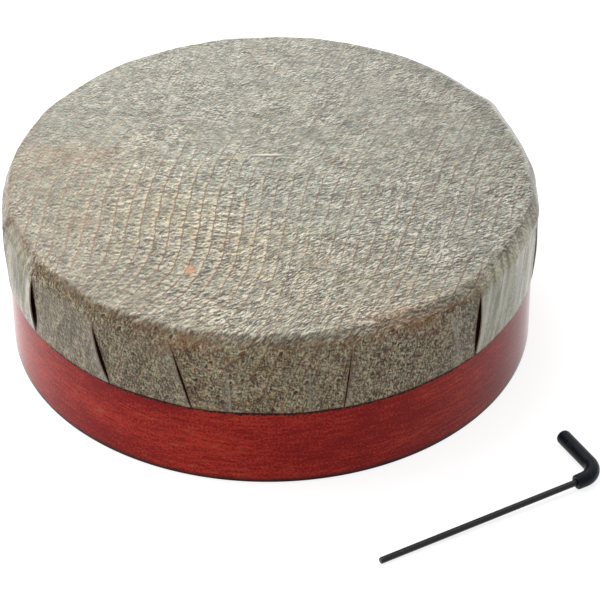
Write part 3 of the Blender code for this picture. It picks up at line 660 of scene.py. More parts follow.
def red_varnish(s):
    """Stained wood under varnish: clouds and thin streaks along the wall, orange flecks and a dark base.

    The outside under the skirt is painted dark as shade, seen in the slits, and a ragged painted shadow line
    runs just below the hem; the inside is left raw.
    """
    r = new_material("red_varnish")
    x, y, z = r.split(r.place())
    wall = r.vector(r.math("ARCTAN2", y, x) * SHELL_RADIUS, z)
    along = r.stretched(wall, 0.30, 1.0)
    cloud = r.noise(along, 55.0, 4.0, 0.6) - 0.5
    streak = r.noise(r.stretched(wall, 0.15, 1.0), 880.0) - 0.5
    fine = r.noise(wall, 1300.0, 1.0) - 0.5
    stain = 0.36 + 1.5 * streak + 2.2 * cloud + 2.2 * fine
    shade = r.mix(r.smooth(stain, 0.0, 1.0), s.deep, s.bright)
    flecks = r.noise(r.stretched(wall, 0.35, 1.0), 520.0, 3.0, 0.65)
    fleck = r.smooth(flecks + 0.3 * streak, 0.54, 0.76)
    clouded = r.smooth(cloud + 0.5, 0.42, 0.66)
    shade = r.mix(0.85 * fleck * clouded, shade, s.ember)

    # A dark line along the base edge, fading out within 3 mm.
    above_base = z - BASE_Z + 0.0008 * r.noise(wall, 300.0)
    shade = r.mix(1 - r.smooth(above_base, 0.0009, 0.0030), shade, s.edge)
    radius = r.radius(x, y)
    outside = r.smooth(radius, SHELL_RADIUS - 0.004, SHELL_RADIUS - 0.0035)
    # Painted shade: dark brown on the wall under the skirt, and a ragged painted shadow line below the hem.
    line_jag = r.noise(wall, 1100.0, 2.0, 0.6) - 0.5
    spread = r.noise(wall, 45.0) - 0.5
    ragged = z + 0.0012 * spread + 0.0036 * line_jag
    skirt_shadow_mask = outside * r.smooth(ragged, HEM_Z - 0.0016, HEM_Z - 0.0012)
    skirt_shadow_colour = r.mix(r.smooth(z, HEM_Z - 0.0005, HEM_Z + 0.003), s.edge, s.skirt_shadow)
    shade = r.mix(skirt_shadow_mask, shade, skirt_shadow_colour)
    bore = SHELL_RADIUS - s.wall
    inside = 1 - r.smooth(radius, bore + 0.0004, bore + 0.0012)
    shade = r.mix(inside, shade, r.mix(r.noise(along, 240.0, 4.0, 0.65), s.raw, s.raw_dark))
    rough = s.gloss + 0.2 * cloud + 0.4 * r.most(inside, skirt_shadow_mask)
    relief = streak + fine + inside * r.noise(along, 900.0, 3.0)
    r.set(Base_Color=shade, Roughness=rough, Normal=r.bump(relief, 0.00002), Specular_IOR_Level=0.11)
    return r.owner


def sanded_ply(s):
    """Layers of veneer seen on the ring's edges, with pores along the grain."""
    veneer = 0.0017
    r = new_material("ring_ply")
    x, y, z = r.split(r.place())
    turn = r.math("ARCTAN2", y, x) * RING_RADIUS
    radius = r.radius(x, y)
    wavy = radius + 0.0004 * r.noise(r.vector(turn, z), 40.0)
    layer = r.math("FRACT", wavy / veneer)
    seam = 1 - r.smooth(abs(layer - 0.5), 0.06, 0.16)
    grain = r.noise(r.stretched(r.vector(turn, z, radius), 0.08, 1.0), 700.0, 4.0, 0.6)
    shade = r.mix(r.smooth(grain, 0.35, 0.75), s.ply, s.ply_dark)
    shade = r.mix(0.7 * seam, shade, s.ply_dark)
    r.set(Base_Color=shade, Roughness=0.5 + 0.2 * grain, Normal=r.bump(grain, 0.00008))
    return r.owner


def plated_steel(name, tone, rough):
    """Zinc-plated steel: cloudy spangle, rolling scratches and a little dulling."""
    r = new_material(name)
    at = r.place()
    cloud = r.noise(at, 260.0, 3.0, 0.6)
    scratch = r.noise(r.stretched(at, 0.1, 1.0), 2600.0)
    shade = r.mix(r.smooth(cloud, 0.3, 0.75), tone, tuple(0.62 * part for part in tone))
    r.set(Base_Color=shade, Metallic=1.0, Roughness=rough + 0.25 * scratch, Normal=r.bump(scratch, 0.00002))
    return r.owner


def black_oxide(name, tone):
    """Blackened steel: near black with a faint brown bloom and bare glints."""
    r = new_material(name)
    at = r.place()
    bloom = r.noise(at, 420.0, 3.0, 0.6)
    bare = r.smooth(r.noise(at, 1500.0), 0.66, 0.80)
    browned = tuple(part * factor for part, factor in zip(tone, (1.5, 1.35, 1.2)))
    shade = r.mix(0.4 * bare, r.mix(bloom, tone, browned), linear(120, 118, 116))
    r.set(Base_Color=shade, Metallic=0.75, Roughness=0.32 + 0.22 * bloom, Normal=r.bump(bloom, 0.00003))
    return r.owner


def nickel_silver(s, centre):
    """Spun metal: fine rings about the pin, tarnished in the grooves and in clouds."""
    r = new_material("jingle_metal")
    at = r.shifted(r.place(), *(-part for part in centre))
    x, y, _ = r.split(at)
    rings = r.noise(r.vector(r.radius(x, y)), 3800.0, 2.0, 0.6)
    cloud = r.noise(at, 160.0, 4.0, 0.6)
    shade = r.mix(r.smooth(cloud, 0.42, 0.72) * (0.4 + 0.6 * rings), s.metal, s.tarnish)
    r.set(Base_Color=shade, Metallic=1.0, Roughness=0.16 + 0.22 * cloud, Normal=r.bump(rings, 0.00003))
    return r.owner


def dipped_vinyl(s):
    """Soft black dip: fine orange peel and a few dusty, rubbed spots."""
    r = new_material("grip_black")
    at = r.place()
    peel = r.noise(at, 1600.0, 3.0, 0.6)
    dust = r.smooth(r.noise(at, 380.0, 3.0, 0.6), 0.55, 0.80)
    shade = r.mix(0.35 * dust, s.vinyl, linear(70, 70, 72))
    r.set(Base_Color=shade, Roughness=0.38 + 0.25 * dust, Normal=r.bump(peel, 0.00008),
          Specular_IOR_Level=0.22, Specular_Tint=(*linear(206, 220, 255), 1.0))
    return r.owner


def grid_quads(rows, columns):
    """Corner indices of the quads of a row-by-column grid of vertices whose columns close up."""
    index = np.arange(rows * columns).reshape(rows, columns)
    after = np.roll(index, -1, axis=1)
    return np.stack((index[:-1], index[1:], after[1:], after[:-1]), axis=-1).reshape(-1, 4)


def shown(name, data):
    """An object of that data, linked to the scene."""
    made = bpy.data.objects.new(name, data)
    bpy.context.scene.collection.objects.link(made)
    return made


def soften(mesh, sharp_deg):
    mesh.shade_smooth()
    mesh.set_sharp_from_angle(angle=math.radians(sharp_deg))


def put(name, vertices, faces, material, sharp_deg=40):
    """A mesh object from arrays: doubles merged, faces outward, smooth but for real edges."""
    mesh = bpy.data.meshes.new(name)
    mesh.from_pydata(np.asarray(vertices).reshape(-1, 3), [], [list(face) for face in faces])
    bm = bmesh.new()
    bm.from_mesh(mesh)
    bmesh.ops.remove_doubles(bm, verts=bm.verts, dist=1e-7)
    bmesh.ops.dissolve_degenerate(bm, edges=bm.edges, dist=1e-7)
    bmesh.ops.recalc_face_normals(bm, faces=bm.faces)
    bm.to_mesh(mesh)
    bm.free()
    mesh.materials.append(material)
    piece = shown(name, mesh)
    soften(mesh, sharp_deg)
    return piece


def dress(piece, body, slot, *nodes):
    """Seat a finished piece on the body it rides on and hide the solids that it stands for; its material slot
    is not used.
    """
    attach(piece, body)
    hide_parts(*nodes)


def apply_modifiers(piece):
    """Work a piece's modifiers into its mesh."""
    graph = bpy.context.evaluated_depsgraph_get()
    done = bpy.data.meshes.new_from_object(piece.evaluated_get(graph))
    piece.modifiers.clear()
    piece.data = done


def ease_edges(piece, width, limit_deg, sharp_deg):
    """Bevel the edges of a piece that turn by more than the limit."""
    ease = piece.modifiers.new("eased", "BEVEL")
    ease.width = width
    ease.segments = 2
    ease.limit_method = "ANGLE"
    ease.angle_limit = math.radians(limit_deg)
    apply_modifiers(piece)
    soften(piece.data, sharp_deg)
    return piece


def prism(name, ends, material):
    """A solid between two like outlines."""
    count = len(ends[0])
    caps = [tuple(range(count)), tuple(range(count, 2 * count))]
    return put(name, ends, [*grid_quads(2, count), *caps], material)


def turns(count):
    """Evenly spaced angles of one turn."""
    return np.linspace(0.0, TAU, count, endpoint=False)


def vee(turn):
    """A V for each turn: 0 at whole turns, 1 half way."""
    return 1 - np.abs(2 * (turn % 1.0) - 1)


def travelled(line):
    """The way along a line of points up to each of them."""
    return np.concatenate(([0.0], np.cumsum(np.linalg.norm(np.diff(line, axis=0), axis=1))))


def arc(centre, radius, start_deg, end_deg, steps):
    """Points (r, z) of an arc of a turned profile, both ends included."""
    angle = np.radians(np.linspace(start_deg, end_deg, steps + 1))
    return np.stack((centre[0] + radius * np.cos(angle), centre[1] + radius * np.sin(angle)), axis=1)


def upright(radius, z):
    """Points (r, z) of an upright part of a turned profile."""
    return np.stack((np.full(len(z), radius), z), axis=1)


def spun(radius, height, segments):
    """Vertices of rings: radius and height per row, or per row and column, spun round Z."""
    angle = turns(segments)
    radius, height = (np.broadcast_to(np.asarray(part, float).reshape(len(part), -1), (len(part), segments))
                      for part in (radius, height))
    return np.stack((radius * np.cos(angle), radius * np.sin(angle), height), axis=-1)


def turned_ring(profile, segments):
    """A closed profile of (r, z) points spun round Z."""
    closed = np.vstack((profile, profile[:1]))
    return spun(closed[:, 0], closed[:, 1], segments), grid_quads(len(closed), segments)


def ripple(angle, waves, seed):
    """A smooth wave round the drum: sines of whole numbers of turns with seeded phases, about -1 to 1."""
    draw = np.random.default_rng(seed)
    phase = draw.uniform(0.0, TAU, len(waves))
    share = draw.uniform(0.5, 1.0, len(waves))
    total = sum(part * np.sin(count * angle + start) for count, start, part in zip(waves, phase, share))
    return total / share.sum()


def slit_table():
    """All slits in rising azimuth: those in front, and a like spacing round the back."""
    front = np.array(FRONT_SLITS)
    first, last = front[-1, AZIMUTH], front[0, AZIMUTH] + 360.0
    count = np.arange(1, REAR_SLIT_COUNT + 1)
    turn = (-1.0) ** count
    even = np.ones(REAR_SLIT_COUNT)
    azimuth = first + count * (last - first) / (REAR_SLIT_COUNT + 1) + 2.5 * turn
    rear = np.stack((azimuth, 2.5 * turn, 0.052 + 0.0006 * turn, 0.0006 - 0.0003 * turn,
                     0.03 * even, 0.5 * even, 0.5 + 0.1 * turn, 0.5 + 0.2 * turn,
                     0.0004 - 0.0002 * turn, 0.0004 + 0.0002 * turn), axis=1)
    table = np.vstack((front, rear))
    table[:, :TOP] = np.radians(table[:, :TOP])
    return table


def top_edge(s):
    """Centre (r, z) of the rounding of the shell's top edge, and the lean of the drawn-in wall below it.

    The wall's line touches the rounding: its lean is acos(round / way) less the angle of that way, from the
    rounding's centre to the foot of the taper.
    """
    across = s.top_taper + s.top_round
    fall = s.taper_height - s.top_round
    lean = math.acos(s.top_round / math.hypot(across, fall)) - math.atan2(fall, across)
    return (SHELL_RADIUS - across, RIM_Z - s.top_round), lean


def film_line(s, shell):
    """The film's outer line as (r, z) rows, and the height where it starts to drop straight.

    It runs along the flat face, down the slope off the crown as a smooth step, round the fold, along the
    drawn-in wall and down to the hem.
    """
    stand = s.seat + s.film
    centre, lean = top_edge(shell)
    crest_z = centre[1] + shell.top_round + stand
    flat = np.stack((np.linspace(0.0, s.crown, 26), np.zeros(26)), axis=1)
    ease = np.linspace(0.0, 1.0, 7)[1:-1]
    slope = np.stack((s.crown + (centre[0] - s.crown) * ease, crest_z * ease ** 2 * (3 - 2 * ease)), axis=1)
    bend = arc(centre, shell.top_round + stand, 90, math.degrees(lean), 8)
    knee = np.array((SHELL_RADIUS + stand, RIM_Z - shell.taper_height + stand * math.tan(lean / 2)))
    taper = bend[-1] + (knee - bend[-1]) * np.linspace(0.0, 1.0, 8)[1:, None]
    drop = upright(knee[0], np.linspace(knee[1], HEM_Z, 37)[1:])
    return np.vstack((flat, slope, bend, taper, drop)), knee[1]


def below(slit, z):
    """How far down slits a height lies: 0 at their top ends and above, 1 at the hem."""
    top = BASE_Z + slit[:, TOP]
    return np.clip((top - z) / (top - HEM_Z), 0.0, 1.0)


def opened(slit, z):
    """The same from where the slits start to open."""
    return np.clip((below(slit, z) - slit[:, OPENS]) / (1 - slit[:, OPENS]), 0.0, 1.0)


def opening(slit, radius, z):
    """Angle that slits open by: a skewed half sine of the way down, and a share kept to the hem."""
    part = opened(slit, z)
    skew = math.log(0.5) / np.log(slit[:, PEAK])
    lens = np.sin(np.pi * part ** skew) ** 1.3 * (1 - slit[:, AT_HEM]) + slit[:, AT_HEM] * np.sqrt(part)
    return slit[:, WIDEST] * lens / np.maximum(radius, 0.01)


def skin_grid(s, shell):
    """Places of the film's grid before it is shaped: rows down the profile and columns across each flap.

    A row has its radius, height and travel from the middle over the crown and the fold to the hem. A column
    has its share of the way between the slits on its left and right, whose edges draw apart by the openings,
    and each point its distance from those edges.
    """
    g = SimpleNamespace(slits=slit_table())
    line, g.knee_z = film_line(s, shell)
    g.radius, g.z, g.travel = line[:, :1], line[:, 1:], travelled(line)[:, None]
    spans = np.roll(g.slits[:, AZIMUTH], -1) - g.slits[:, AZIMUTH]
    spans[-1] += TAU
    g.counts = np.ceil(spans / math.radians(0.8)).astype(int)
    g.flap = np.concatenate([np.full(count + 1, index) for index, count in enumerate(g.counts)])
    g.share = np.concatenate([np.linspace(0.0, 1.0, count + 1) for count in g.counts])[None, :]
    g.left, g.right = g.slits[g.flap], g.slits[(g.flap + 1) % len(g.slits)]
    g.down_left, g.down_right = below(g.left, g.z), below(g.right, g.z)
    start = g.left[:, AZIMUTH] + g.left[:, DRIFT] * g.down_left
    start = start + opening(g.left, g.radius, g.z) * g.left[:, AFTER]
    stop = g.left[:, AZIMUTH] + spans[g.flap] + g.right[:, DRIFT] * g.down_right
    stop = stop - opening(g.right, g.radius, g.z) * (1 - g.right[:, AFTER])
    g.angle = start + (stop - start) * g.share
    g.from_left = (g.angle - start) * g.radius
    g.to_right = (stop - g.angle) * g.radius
    return g


def skin_points(s, g):
    """The film's outer side.

    Edges of slits stand off by their lift, which falls off along the flap as exp(-distance / reach). Between
    slits the film pulls straight, puckers stand out on the fold as exp(-(turn / width)^2), and the fold, the
    hem and the face have slight waves.
    """
    lift_reach = 0.0045

    def lifted(slit, column, distance):
        rise = np.sin(np.pi * opened(slit, g.z) ** 0.8) ** 0.7
        return slit[:, column] * rise * np.exp(-distance / lift_reach)

    stand = lifted(g.left, LIFT_AFTER, g.from_left) + lifted(g.right, LIFT_BEFORE, g.to_right)
    past_crown = np.clip((g.travel - s.crown) / 0.007, 0.0, 1.0)
    down_skirt = np.clip((g.knee_z - g.z) / (g.knee_z - HEM_Z), 0.0, 1.0)
    facet = 0.0003 * ((2 * g.share - 1) ** 2 - 0.4) * past_crown * (1 - 0.6 * down_skirt)
    centre, width, height, fade = np.array(PUCKERS).T[:, :, None, None]
    off = (np.degrees(g.angle) - centre + 180.0) % 360.0 - 180.0
    pucker = (height * np.exp(-(off / width) ** 2) * (1 - down_skirt) ** fade).sum(axis=0) * past_crown
    wave = 0.00012 * past_crown * ripple(g.angle, (9, 14, 23, 31), 3)
    crease = 0.00006 * past_crown * ripple(g.angle, (53, 67, 88, 101), 13) * (1 - down_skirt)
    out = g.radius + stand + facet + pucker + wave + crease
    hem = 0.00016 * ripple(g.angle, (130, 171, 223, 260), 5) + 0.00025 * ripple(g.angle, (5, 11, 17), 7)
    drum = 0.00010 * np.sin(np.pi * np.clip(g.radius / s.crown, 0, 1)) * ripple(g.angle, (2, 3, 5), 11)
    level = g.z + hem * down_skirt ** 3 + np.where(g.z == 0.0, np.minimum(drum, 0.0), 0.0)
    return np.stack((out * np.cos(g.angle), out * np.sin(g.angle), level), axis=-1)


def skin_shades(g):
    """Each point's share of its flap's own tone, of a cut edge's brown with painted shade, and of a lifted
    edge's painted highlight.

    All fall off with distance from the edges of slits. Where the film is whole above a slit the tone fades
    out, and a closed slit has a thin painted highlight instead of cut edges. The brown also runs along the
    hem.
    """
    cut_from = 0.02
    whole_reach, lit_reach, cut_reach, line_reach = 0.004, 0.0022, 0.0006, 0.0004
    tone = np.random.default_rng(19).uniform(-0.15, 0.15, len(g.slits))
    for number, paler in PALE_FLAPS:
        tone[number] = paler
    whole_left = (1 - np.minimum(8 * g.down_left, 1.0)) * np.exp(-g.from_left / whole_reach)
    whole_right = (1 - np.minimum(8 * g.down_right, 1.0)) * np.exp(-g.to_right / whole_reach)
    from_z = np.where(tone > 0.5, -0.0004, g.knee_z + 0.003)[g.flap]
    tone = tone[g.flap] * np.clip((from_z - g.z) / 0.003, 0.0, 1.0) * (1 - whole_left) * (1 - whole_right)

    # Painted highlight: a pale strip along each lifted flap edge.
    lift_left = g.left[:, LIFT_AFTER] * np.sqrt(g.down_left) * np.exp(-(g.from_left / lit_reach) ** 2)
    lift_right = g.right[:, LIFT_BEFORE] * np.sqrt(g.down_right) * np.exp(-(g.to_right / lit_reach) ** 2)
    closed_left, closed_right = (slit[:, WIDEST] < CLOSED_OPENING for slit in (g.left, g.right))
    # Painted highlight: the pale line along a closed slit, where its edge would catch the light.
    closed_slit_highlight = closed_right * np.exp(-g.to_right / line_reach) * (g.down_right > cut_from)
    lit = 560.0 * (lift_left + lift_right) + 1.2 * closed_slit_highlight
    # Brown of the cut edges, partly painted shade of their curled edges; it also runs along the hem.
    cut_shade_left = np.exp(-g.from_left / cut_reach) * (g.down_left > cut_from)
    cut_shade_right = np.exp(-g.to_right / cut_reach) * (g.down_right > cut_from)
    by_right = np.round(g.share)
    is_open = (1 - closed_right * by_right) * (1 - closed_left * (1 - by_right))
    cut = np.maximum(np.maximum(cut_shade_left, cut_shade_right) * is_open, 0.8 * np.exp(-(g.z - HEM_Z) / line_reach))
    return {"flap_tone": tone, "cut_edge_and_shade": cut, "lit_edge": lit}


def skin_quads(g):
    """Corners of the film's quads: with points joined where the film is whole, and with none joined."""
    apart = np.arange(g.angle.size).reshape(g.angle.shape)
    joined = apart.copy()
    first = np.concatenate(([0], np.cumsum(g.counts + 1)[:-1]))
    last = np.roll(first + g.counts, 1)
    whole = below(g.slits, g.z) <= 0.0
    for slit, (here, there) in enumerate(zip(first, last)):
        joined[whole[:, slit], here] = joined[whole[:, slit], there]
    joined[0, :] = joined[0, 0]
    near = np.flatnonzero(g.share[0, :-1] < 1.0)
    far = near + 1
    return [np.stack((index[:-1, near], index[1:, near], index[1:, far], index[:-1, far]), axis=-1)
            for index in (joined, apart)]


def make_skin(s, shell, material):
    """The film as a solid sheet, with its flat coordinates, those round the wall, each flap's tone and its
    painted edge highlights and shade.
    """
    g = skin_grid(s, shell)
    quads, sides = skin_quads(g)
    used, corner = np.unique(quads.reshape(-1), return_inverse=True)
    corner = corner.reshape(quads.shape)
    faces = corner[0][:, :3].tolist() + corner[1:].reshape(-1, 4).tolist()
    loops = np.concatenate((sides[0][:, :3].reshape(-1), sides[1:].reshape(-1)))
    mesh = bpy.data.meshes.new("skin_head")
    mesh.from_pydata(skin_points(s, g).reshape(-1, 3)[used], [], faces)
    sheets = {"sheet": (g.travel * np.cos(g.angle), g.travel * np.sin(g.angle)),
              "wrap": (SHELL_RADIUS * g.angle, g.travel + 0 * g.angle)}
    for name, spots in sheets.items():
        layer = mesh.uv_layers.new(name=name)
        spots = np.stack(spots, axis=-1).reshape(-1, 2)
        layer.data.foreach_set("uv", spots[loops].astype(np.float32).reshape(-1))
    for name, shade in skin_shades(g).items():
        layer = mesh.attributes.new(name, "FLOAT", "POINT")
        layer.data.foreach_set("value", shade.reshape(-1)[used].astype(np.float32))
    mesh.materials.append(material)
    mesh.shade_smooth()
    piece = shown("skin_head", mesh)
    film = piece.modifiers.new("film", "SOLIDIFY")
    film.thickness = s.film * 0.8
    film.offset = -1.0
    apply_modifiers(piece)
    soften(piece.data, sharp_deg=50)
    return piece


def make_shell(s, material):
    """The shell's profile spun round, then cut for the jingle slot and the pin."""
    bore = SHELL_RADIUS - s.wall
    foot = BASE_Z + s.base_round
    rim_round = 0.001
    centre, lean = top_edge(s)
    profile = np.vstack((
        arc(centre, s.top_round, 90, math.degrees(lean), 6),
        upright(SHELL_RADIUS, np.linspace(RIM_Z - s.taper_height, foot, 25)[:-1]),
        arc((SHELL_RADIUS - s.base_round, foot), s.base_round, 0, -90, 6),
        arc((bore + s.base_round, foot), s.base_round, -90, -180, 6),
        upright(bore, np.linspace(foot, RIM_Z - rim_round, 26)[1:-1]),
        arc((bore + rim_round, RIM_Z - rim_round), rim_round, 180, 90, 3)))
    shell = put("shell_ring", *turned_ring(profile, 240), material)

    end = s.slot_height / 2
    reach = s.slot_length / 2 - end
    middle = BASE_Z + s.slot_floor + end
    outline = np.vstack((arc((reach, middle), end, -90, 90, 20), arc((-reach, middle), end, 90, 270, 20)))
    ends = [np.insert(outline, 1, y, axis=1) for y in (SHELL_RADIUS - 4 * s.wall, SHELL_RADIUS + s.wall)]
    pin_low, pin_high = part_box("jingle_pin")
    at = (pin_low + pin_high) / 2
    gap = 0.0003
    drill_radius = (pin_high.x - pin_low.x) / 2 + gap
    drill = spun([drill_radius] * 2, [BASE_Z - gap, pin_high.z + gap], 32) + np.array((at.x, at.y, 0.0))
    tools = prism("slot_cutter", ends, material), prism("pin_cutter", drill, material)
    for tool in tools:
        cut = shell.modifiers.new(tool.name, "BOOLEAN")
        cut.object = tool
        cut.solver = "EXACT"
    apply_modifiers(shell)
    for tool in tools:
        bpy.data.objects.remove(tool)
    return ease_edges(shell, width=0.0005, limit_deg=50, sharp_deg=40)


def make_ring(material):
    """The tuning ring's profile: rounded crown near the outside, falling away inwards, all edges eased."""
    width, crown, crown_in, shoulder, edge = 0.0085, 0.0015, 0.002, 0.0035, 0.0006
    high, low = RING_HIGH.z, RING_LOW.z
    inner = RING_RADIUS - width + edge
    profile = np.vstack((arc((RING_RADIUS - crown_in, high - crown), crown, 110, 15, 12),
                         [(RING_RADIUS, high - shoulder)],
                         arc((RING_RADIUS - edge, low + edge), edge, 0, -90, 4),
                         arc((inner, low + edge), edge, -90, -180, 4),
                         arc((inner, high - shoulder - edge), edge, 180, 110, 4)))
    return put("pressure_ring", *turned_ring(profile, 240), material)


def polygon_radius(angle, flats, sides):
    """Distance from the middle to the side of a regular polygon of that size across flats."""
    step = TAU / sides
    return flats / 2 / np.cos((angle + step / 2) % step - step / 2)


def make_screw(number, s, material):
    """A headless screw: a V thread, a coned tip and a hexagon socket.

    The thread's radius is the full one less the groove's depth times a V of z / pitch - turn, which runs out
    at both ends.
    """
    full, groove, runout = 0.002, 0.00038, 0.0012
    point_radius, point_length = 0.0012, 0.0006
    mouth_radius, mouth_length, socket_depth = 0.00155, 0.0004, 0.0025
    low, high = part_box(f"tuning_screw_{number}")
    centre = (low + high) / 2
    angle = turns(40)
    even = np.ones_like(angle)
    z = np.linspace(high.z - point_length, low.z + mouth_length, 250)
    cut = np.clip(np.minimum(high.z - z, z - low.z) / runout, 0.0, 1.0)[:, None]
    thread = full - groove * vee(z[:, None] / s.pitch - angle / TAU) * cut - groove * (1 - cut)
    socket = polygon_radius(angle, s.socket, 6)
    radius = np.vstack((0 * even, point_radius * even, thread, mouth_radius * even, 1.03 * socket, socket,
                        socket, 0 * even))
    inside = np.array((0.0, 0.0, 0.0001, socket_depth, socket_depth + 0.0005))
    heights = np.concatenate(([high.z] * 2, z, low.z + inside))
    points = spun(radius, heights, len(angle)) + np.array((centre.x, centre.y, 0.0))
    return put(f"set_screw_{number}", points, grid_quads(*radius.shape), material, sharp_deg=30)


def node_mesh(name):
    """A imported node's corners and triangles."""
    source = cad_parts[name].data
    corner = np.empty(len(source.vertices) * 3, np.float32)
    source.vertices.foreach_get("co", corner)
    index = np.empty(len(source.loops), np.int32)
    source.loops.foreach_get("vertex_index", index)
    return corner.reshape(-1, 3), index.reshape(-1, 3)


def make_fixing(number, letter, material):
    """A pan-head screw lying outwards from the bore: cross recess, domed head, coarse thread and point.

    It is drawn upright, the head's underside at 0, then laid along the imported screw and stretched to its
    length. The recess is a cross cos(2 turn)^2, cut off above and below.
    """
    head_top, head_side, head_radius, dome_radius, recess_floor = 0.0020, 0.0011, 0.0026, 0.0015, 0.0009
    shank_radius, groove, pitch, point = 0.00145, 0.0004, 0.0011, -0.0076
    azimuth = TAU * (number - 1) / len(STATIONS)
    out = np.array((math.cos(azimuth), math.sin(azimuth), 0.0))
    side = np.array((-out[1], out[0], 0.0))
    up = np.array((0.0, 0.0, 1.0))
    packed, _ = node_mesh(f"fixing_{number}{letter}")
    low, high = np.array([((packed @ axis).min(), (packed @ axis).max()) for axis in (out, side, up)]).T
    start = low[0] * out + (low[1] + high[1]) / 2 * side + (low[2] + high[2]) / 2 * up

    angle = turns(48)
    even = np.ones_like(angle)
    cross = 0.00045 + 0.0009 * np.clip(np.cos(2 * angle) ** 2 * 2.2 - 1.2, 0.0, 1.0)
    dome = np.linspace(0.0, np.pi / 2, 8)
    dome_r = np.outer(dome_radius + (head_radius - dome_radius) * np.sin(dome), even)
    dome_z = head_side + (head_top - head_side) * np.cos(dome)
    body = np.linspace(-0.0002, -0.0065, 90)
    taper = np.clip((body + 0.0082) / 0.0030, 0.0, 1.0)[:, None]
    shank = taper * (shank_radius - groove * vee(body[:, None] / pitch - angle / TAU))
    radius = np.vstack((0 * even, 0.7 * cross, cross, dome_r, head_radius * even, shank_radius * even, shank,
                        0 * even))
    heights = np.concatenate(([recess_floor, recess_floor, head_top], dome_z, [0.0, 0.0], body, [point]))
    drawn = spun(radius, heights, len(angle))
    along = (head_top - drawn[..., 2:]) / (head_top - point) * (high[0] - low[0])
    points = start + along * out + drawn[..., 0:1] * side + drawn[..., 1:2] * up
    return put(f"pan_screw_{number}{letter}", points, grid_quads(*radius.shape), material, sharp_deg=35)


def make_bracket(number, material):
    """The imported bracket's own solid, merged, with its cut edges eased."""
    corners, triangles = node_mesh(f"bracket_{number}")
    piece = put(f"angle_bracket_{number}", corners, triangles.tolist(), material)
    bm = bmesh.new()
    bm.from_mesh(piece.data)
    bmesh.ops.dissolve_limit(bm, angle_limit=math.radians(1), verts=bm.verts, edges=bm.edges)
    bm.to_mesh(piece.data)
    bm.free()
    return ease_edges(piece, width=0.0003, limit_deg=40, sharp_deg=30)


def make_jingle(name, node, up, s, material):
    """A stamped disc: flat flange, raised cup as a half wave, rolled rim, and a hole in the cup."""
    low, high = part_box(node)
    centre = (low + high) / 2
    big = (high.x - low.x) / 2
    flange = np.linspace(big, s.cup_radius, 12)
    cup = np.linspace(s.cup_radius, s.hole, 24)[1:]
    wave = s.cup_height * (1 + np.cos(np.pi * (cup - s.hole) / (s.cup_radius - s.hole))) / 2
    radius = np.concatenate((flange, cup))
    rise = np.concatenate((np.zeros(len(flange)), wave))
    lip = s.plate / 2
    rolled = 0.8 * lip
    edge = arc((big - lip, lip), lip, 90, -90, 8)
    eye = arc((s.hole + rolled, s.cup_height + lip), lip, -90, -270, 6)
    eye[:, 0] = s.hole + rolled + 0.8 * (eye[:, 0] - s.hole - rolled)
    keep = (radius < big - lip) & (radius > s.hole + rolled)
    under = np.stack((radius[keep], rise[keep]), axis=1)
    over = under[::-1] + np.array((0.0, s.plate))
    points, faces = turned_ring(np.vstack((edge, under, eye, over)), 128)
    way, rim = (1.0, low.z) if up else (-1.0, high.z)
    points = points * np.array((1.0, 1.0, way)) + np.array((centre.x, centre.y, rim))
    return put(name, points, faces, material)


def make_pin(material):
    """A drawn wire pin with eased ends."""
    low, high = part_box("jingle_pin")
    big = (high.x - low.x) / 2
    ease = big / 3
    profile = np.vstack(([(0.0, high.z)], arc((big - ease, high.z - ease), ease, 90, 0, 5),
                         arc((big - ease, low.z + ease), ease, 0, -90, 5), [(0.0, low.z)]))
    points = spun(profile[:, 0], profile[:, 1], 32) + np.array((0.0, (low.y + high.y) / 2, 0.0))
    return put("wire_pin", points, grid_quads(len(profile), 32), material)


def key_line(k):
    """The key's middle line from the grip's closed end to the tip, its directions and the grip's radius."""
    gap = 0.0003
    grip = k.flats / math.sqrt(3) + gap + k.wall
    fall = (grip - k.flats / 2) / (k.long_arm - k.cover)
    along = np.array((math.cos(k.heading), math.sin(k.heading), -fall))
    across = np.array((math.sin(k.heading), -math.cos(k.heading), 0.0))
    corner = np.array((*k.corner, BASE_Z + grip + fall * k.cover))
    bend = np.linspace(0.0, np.pi / 2, 25)[:, None]
    short = corner + across * np.linspace(k.short_arm, k.bend, 14)[:-1, None]
    curve = corner + k.bend * (across * (1 - np.sin(bend)) + along * (1 - np.cos(bend)))
    long = corner + along * np.linspace(k.bend, k.long_arm, 60)[1:, None]
    line = np.vstack((short, curve, long))
    step = np.gradient(line, axis=0)
    return line, step / np.linalg.norm(step, axis=1)[:, None], grip


def swept(name, line, heading, outline, material, sharp_deg):
    """A bar of rings carried along a line: outline gives each row's (side, up) offsets."""
    side = np.cross(heading, (0.0, 0.0, 1.0))
    side /= np.linalg.norm(side, axis=1)[:, None]
    up = np.cross(side, heading)
    points = line[:, None] + outline[..., 0:1] * side[:, None] + outline[..., 1:2] * up[:, None]
    return put(name, points, grid_quads(*outline.shape[:2]), material, sharp_deg)


def ring_rows(size, radius, angle):
    """Outlines of rows of rings, each of its own size."""
    return size[:, None, None] * np.stack((radius * np.cos(angle), radius * np.sin(angle)), axis=-1)


def make_key_rod(k, material):
    """A hexagon bar with softened corners bent into an L, its tip chamfered."""
    covered, chamfer = 0.0006, 0.0004
    line, heading, _ = key_line(k)
    keep = travelled(line) > k.wall + covered
    line, heading = line[keep], heading[keep]
    tip, way = line[-1], heading[-1]
    line = np.vstack((line[:1], line[:-1], [tip - way * chamfer, tip, tip]))
    heading = np.vstack((heading[:1], heading[:-1], [way] * 3))
    angle = turns(48)
    hexagon = np.minimum(polygon_radius(angle + np.pi / 6, k.flats, 6), k.flats / 2 * 1.12)
    size = np.ones(len(line))
    size[[0, -2, -1]] = 0.0, 0.86, 0.0
    return swept("hex_rod", line, heading, ring_rows(size, hexagon, angle), material, sharp_deg=25)


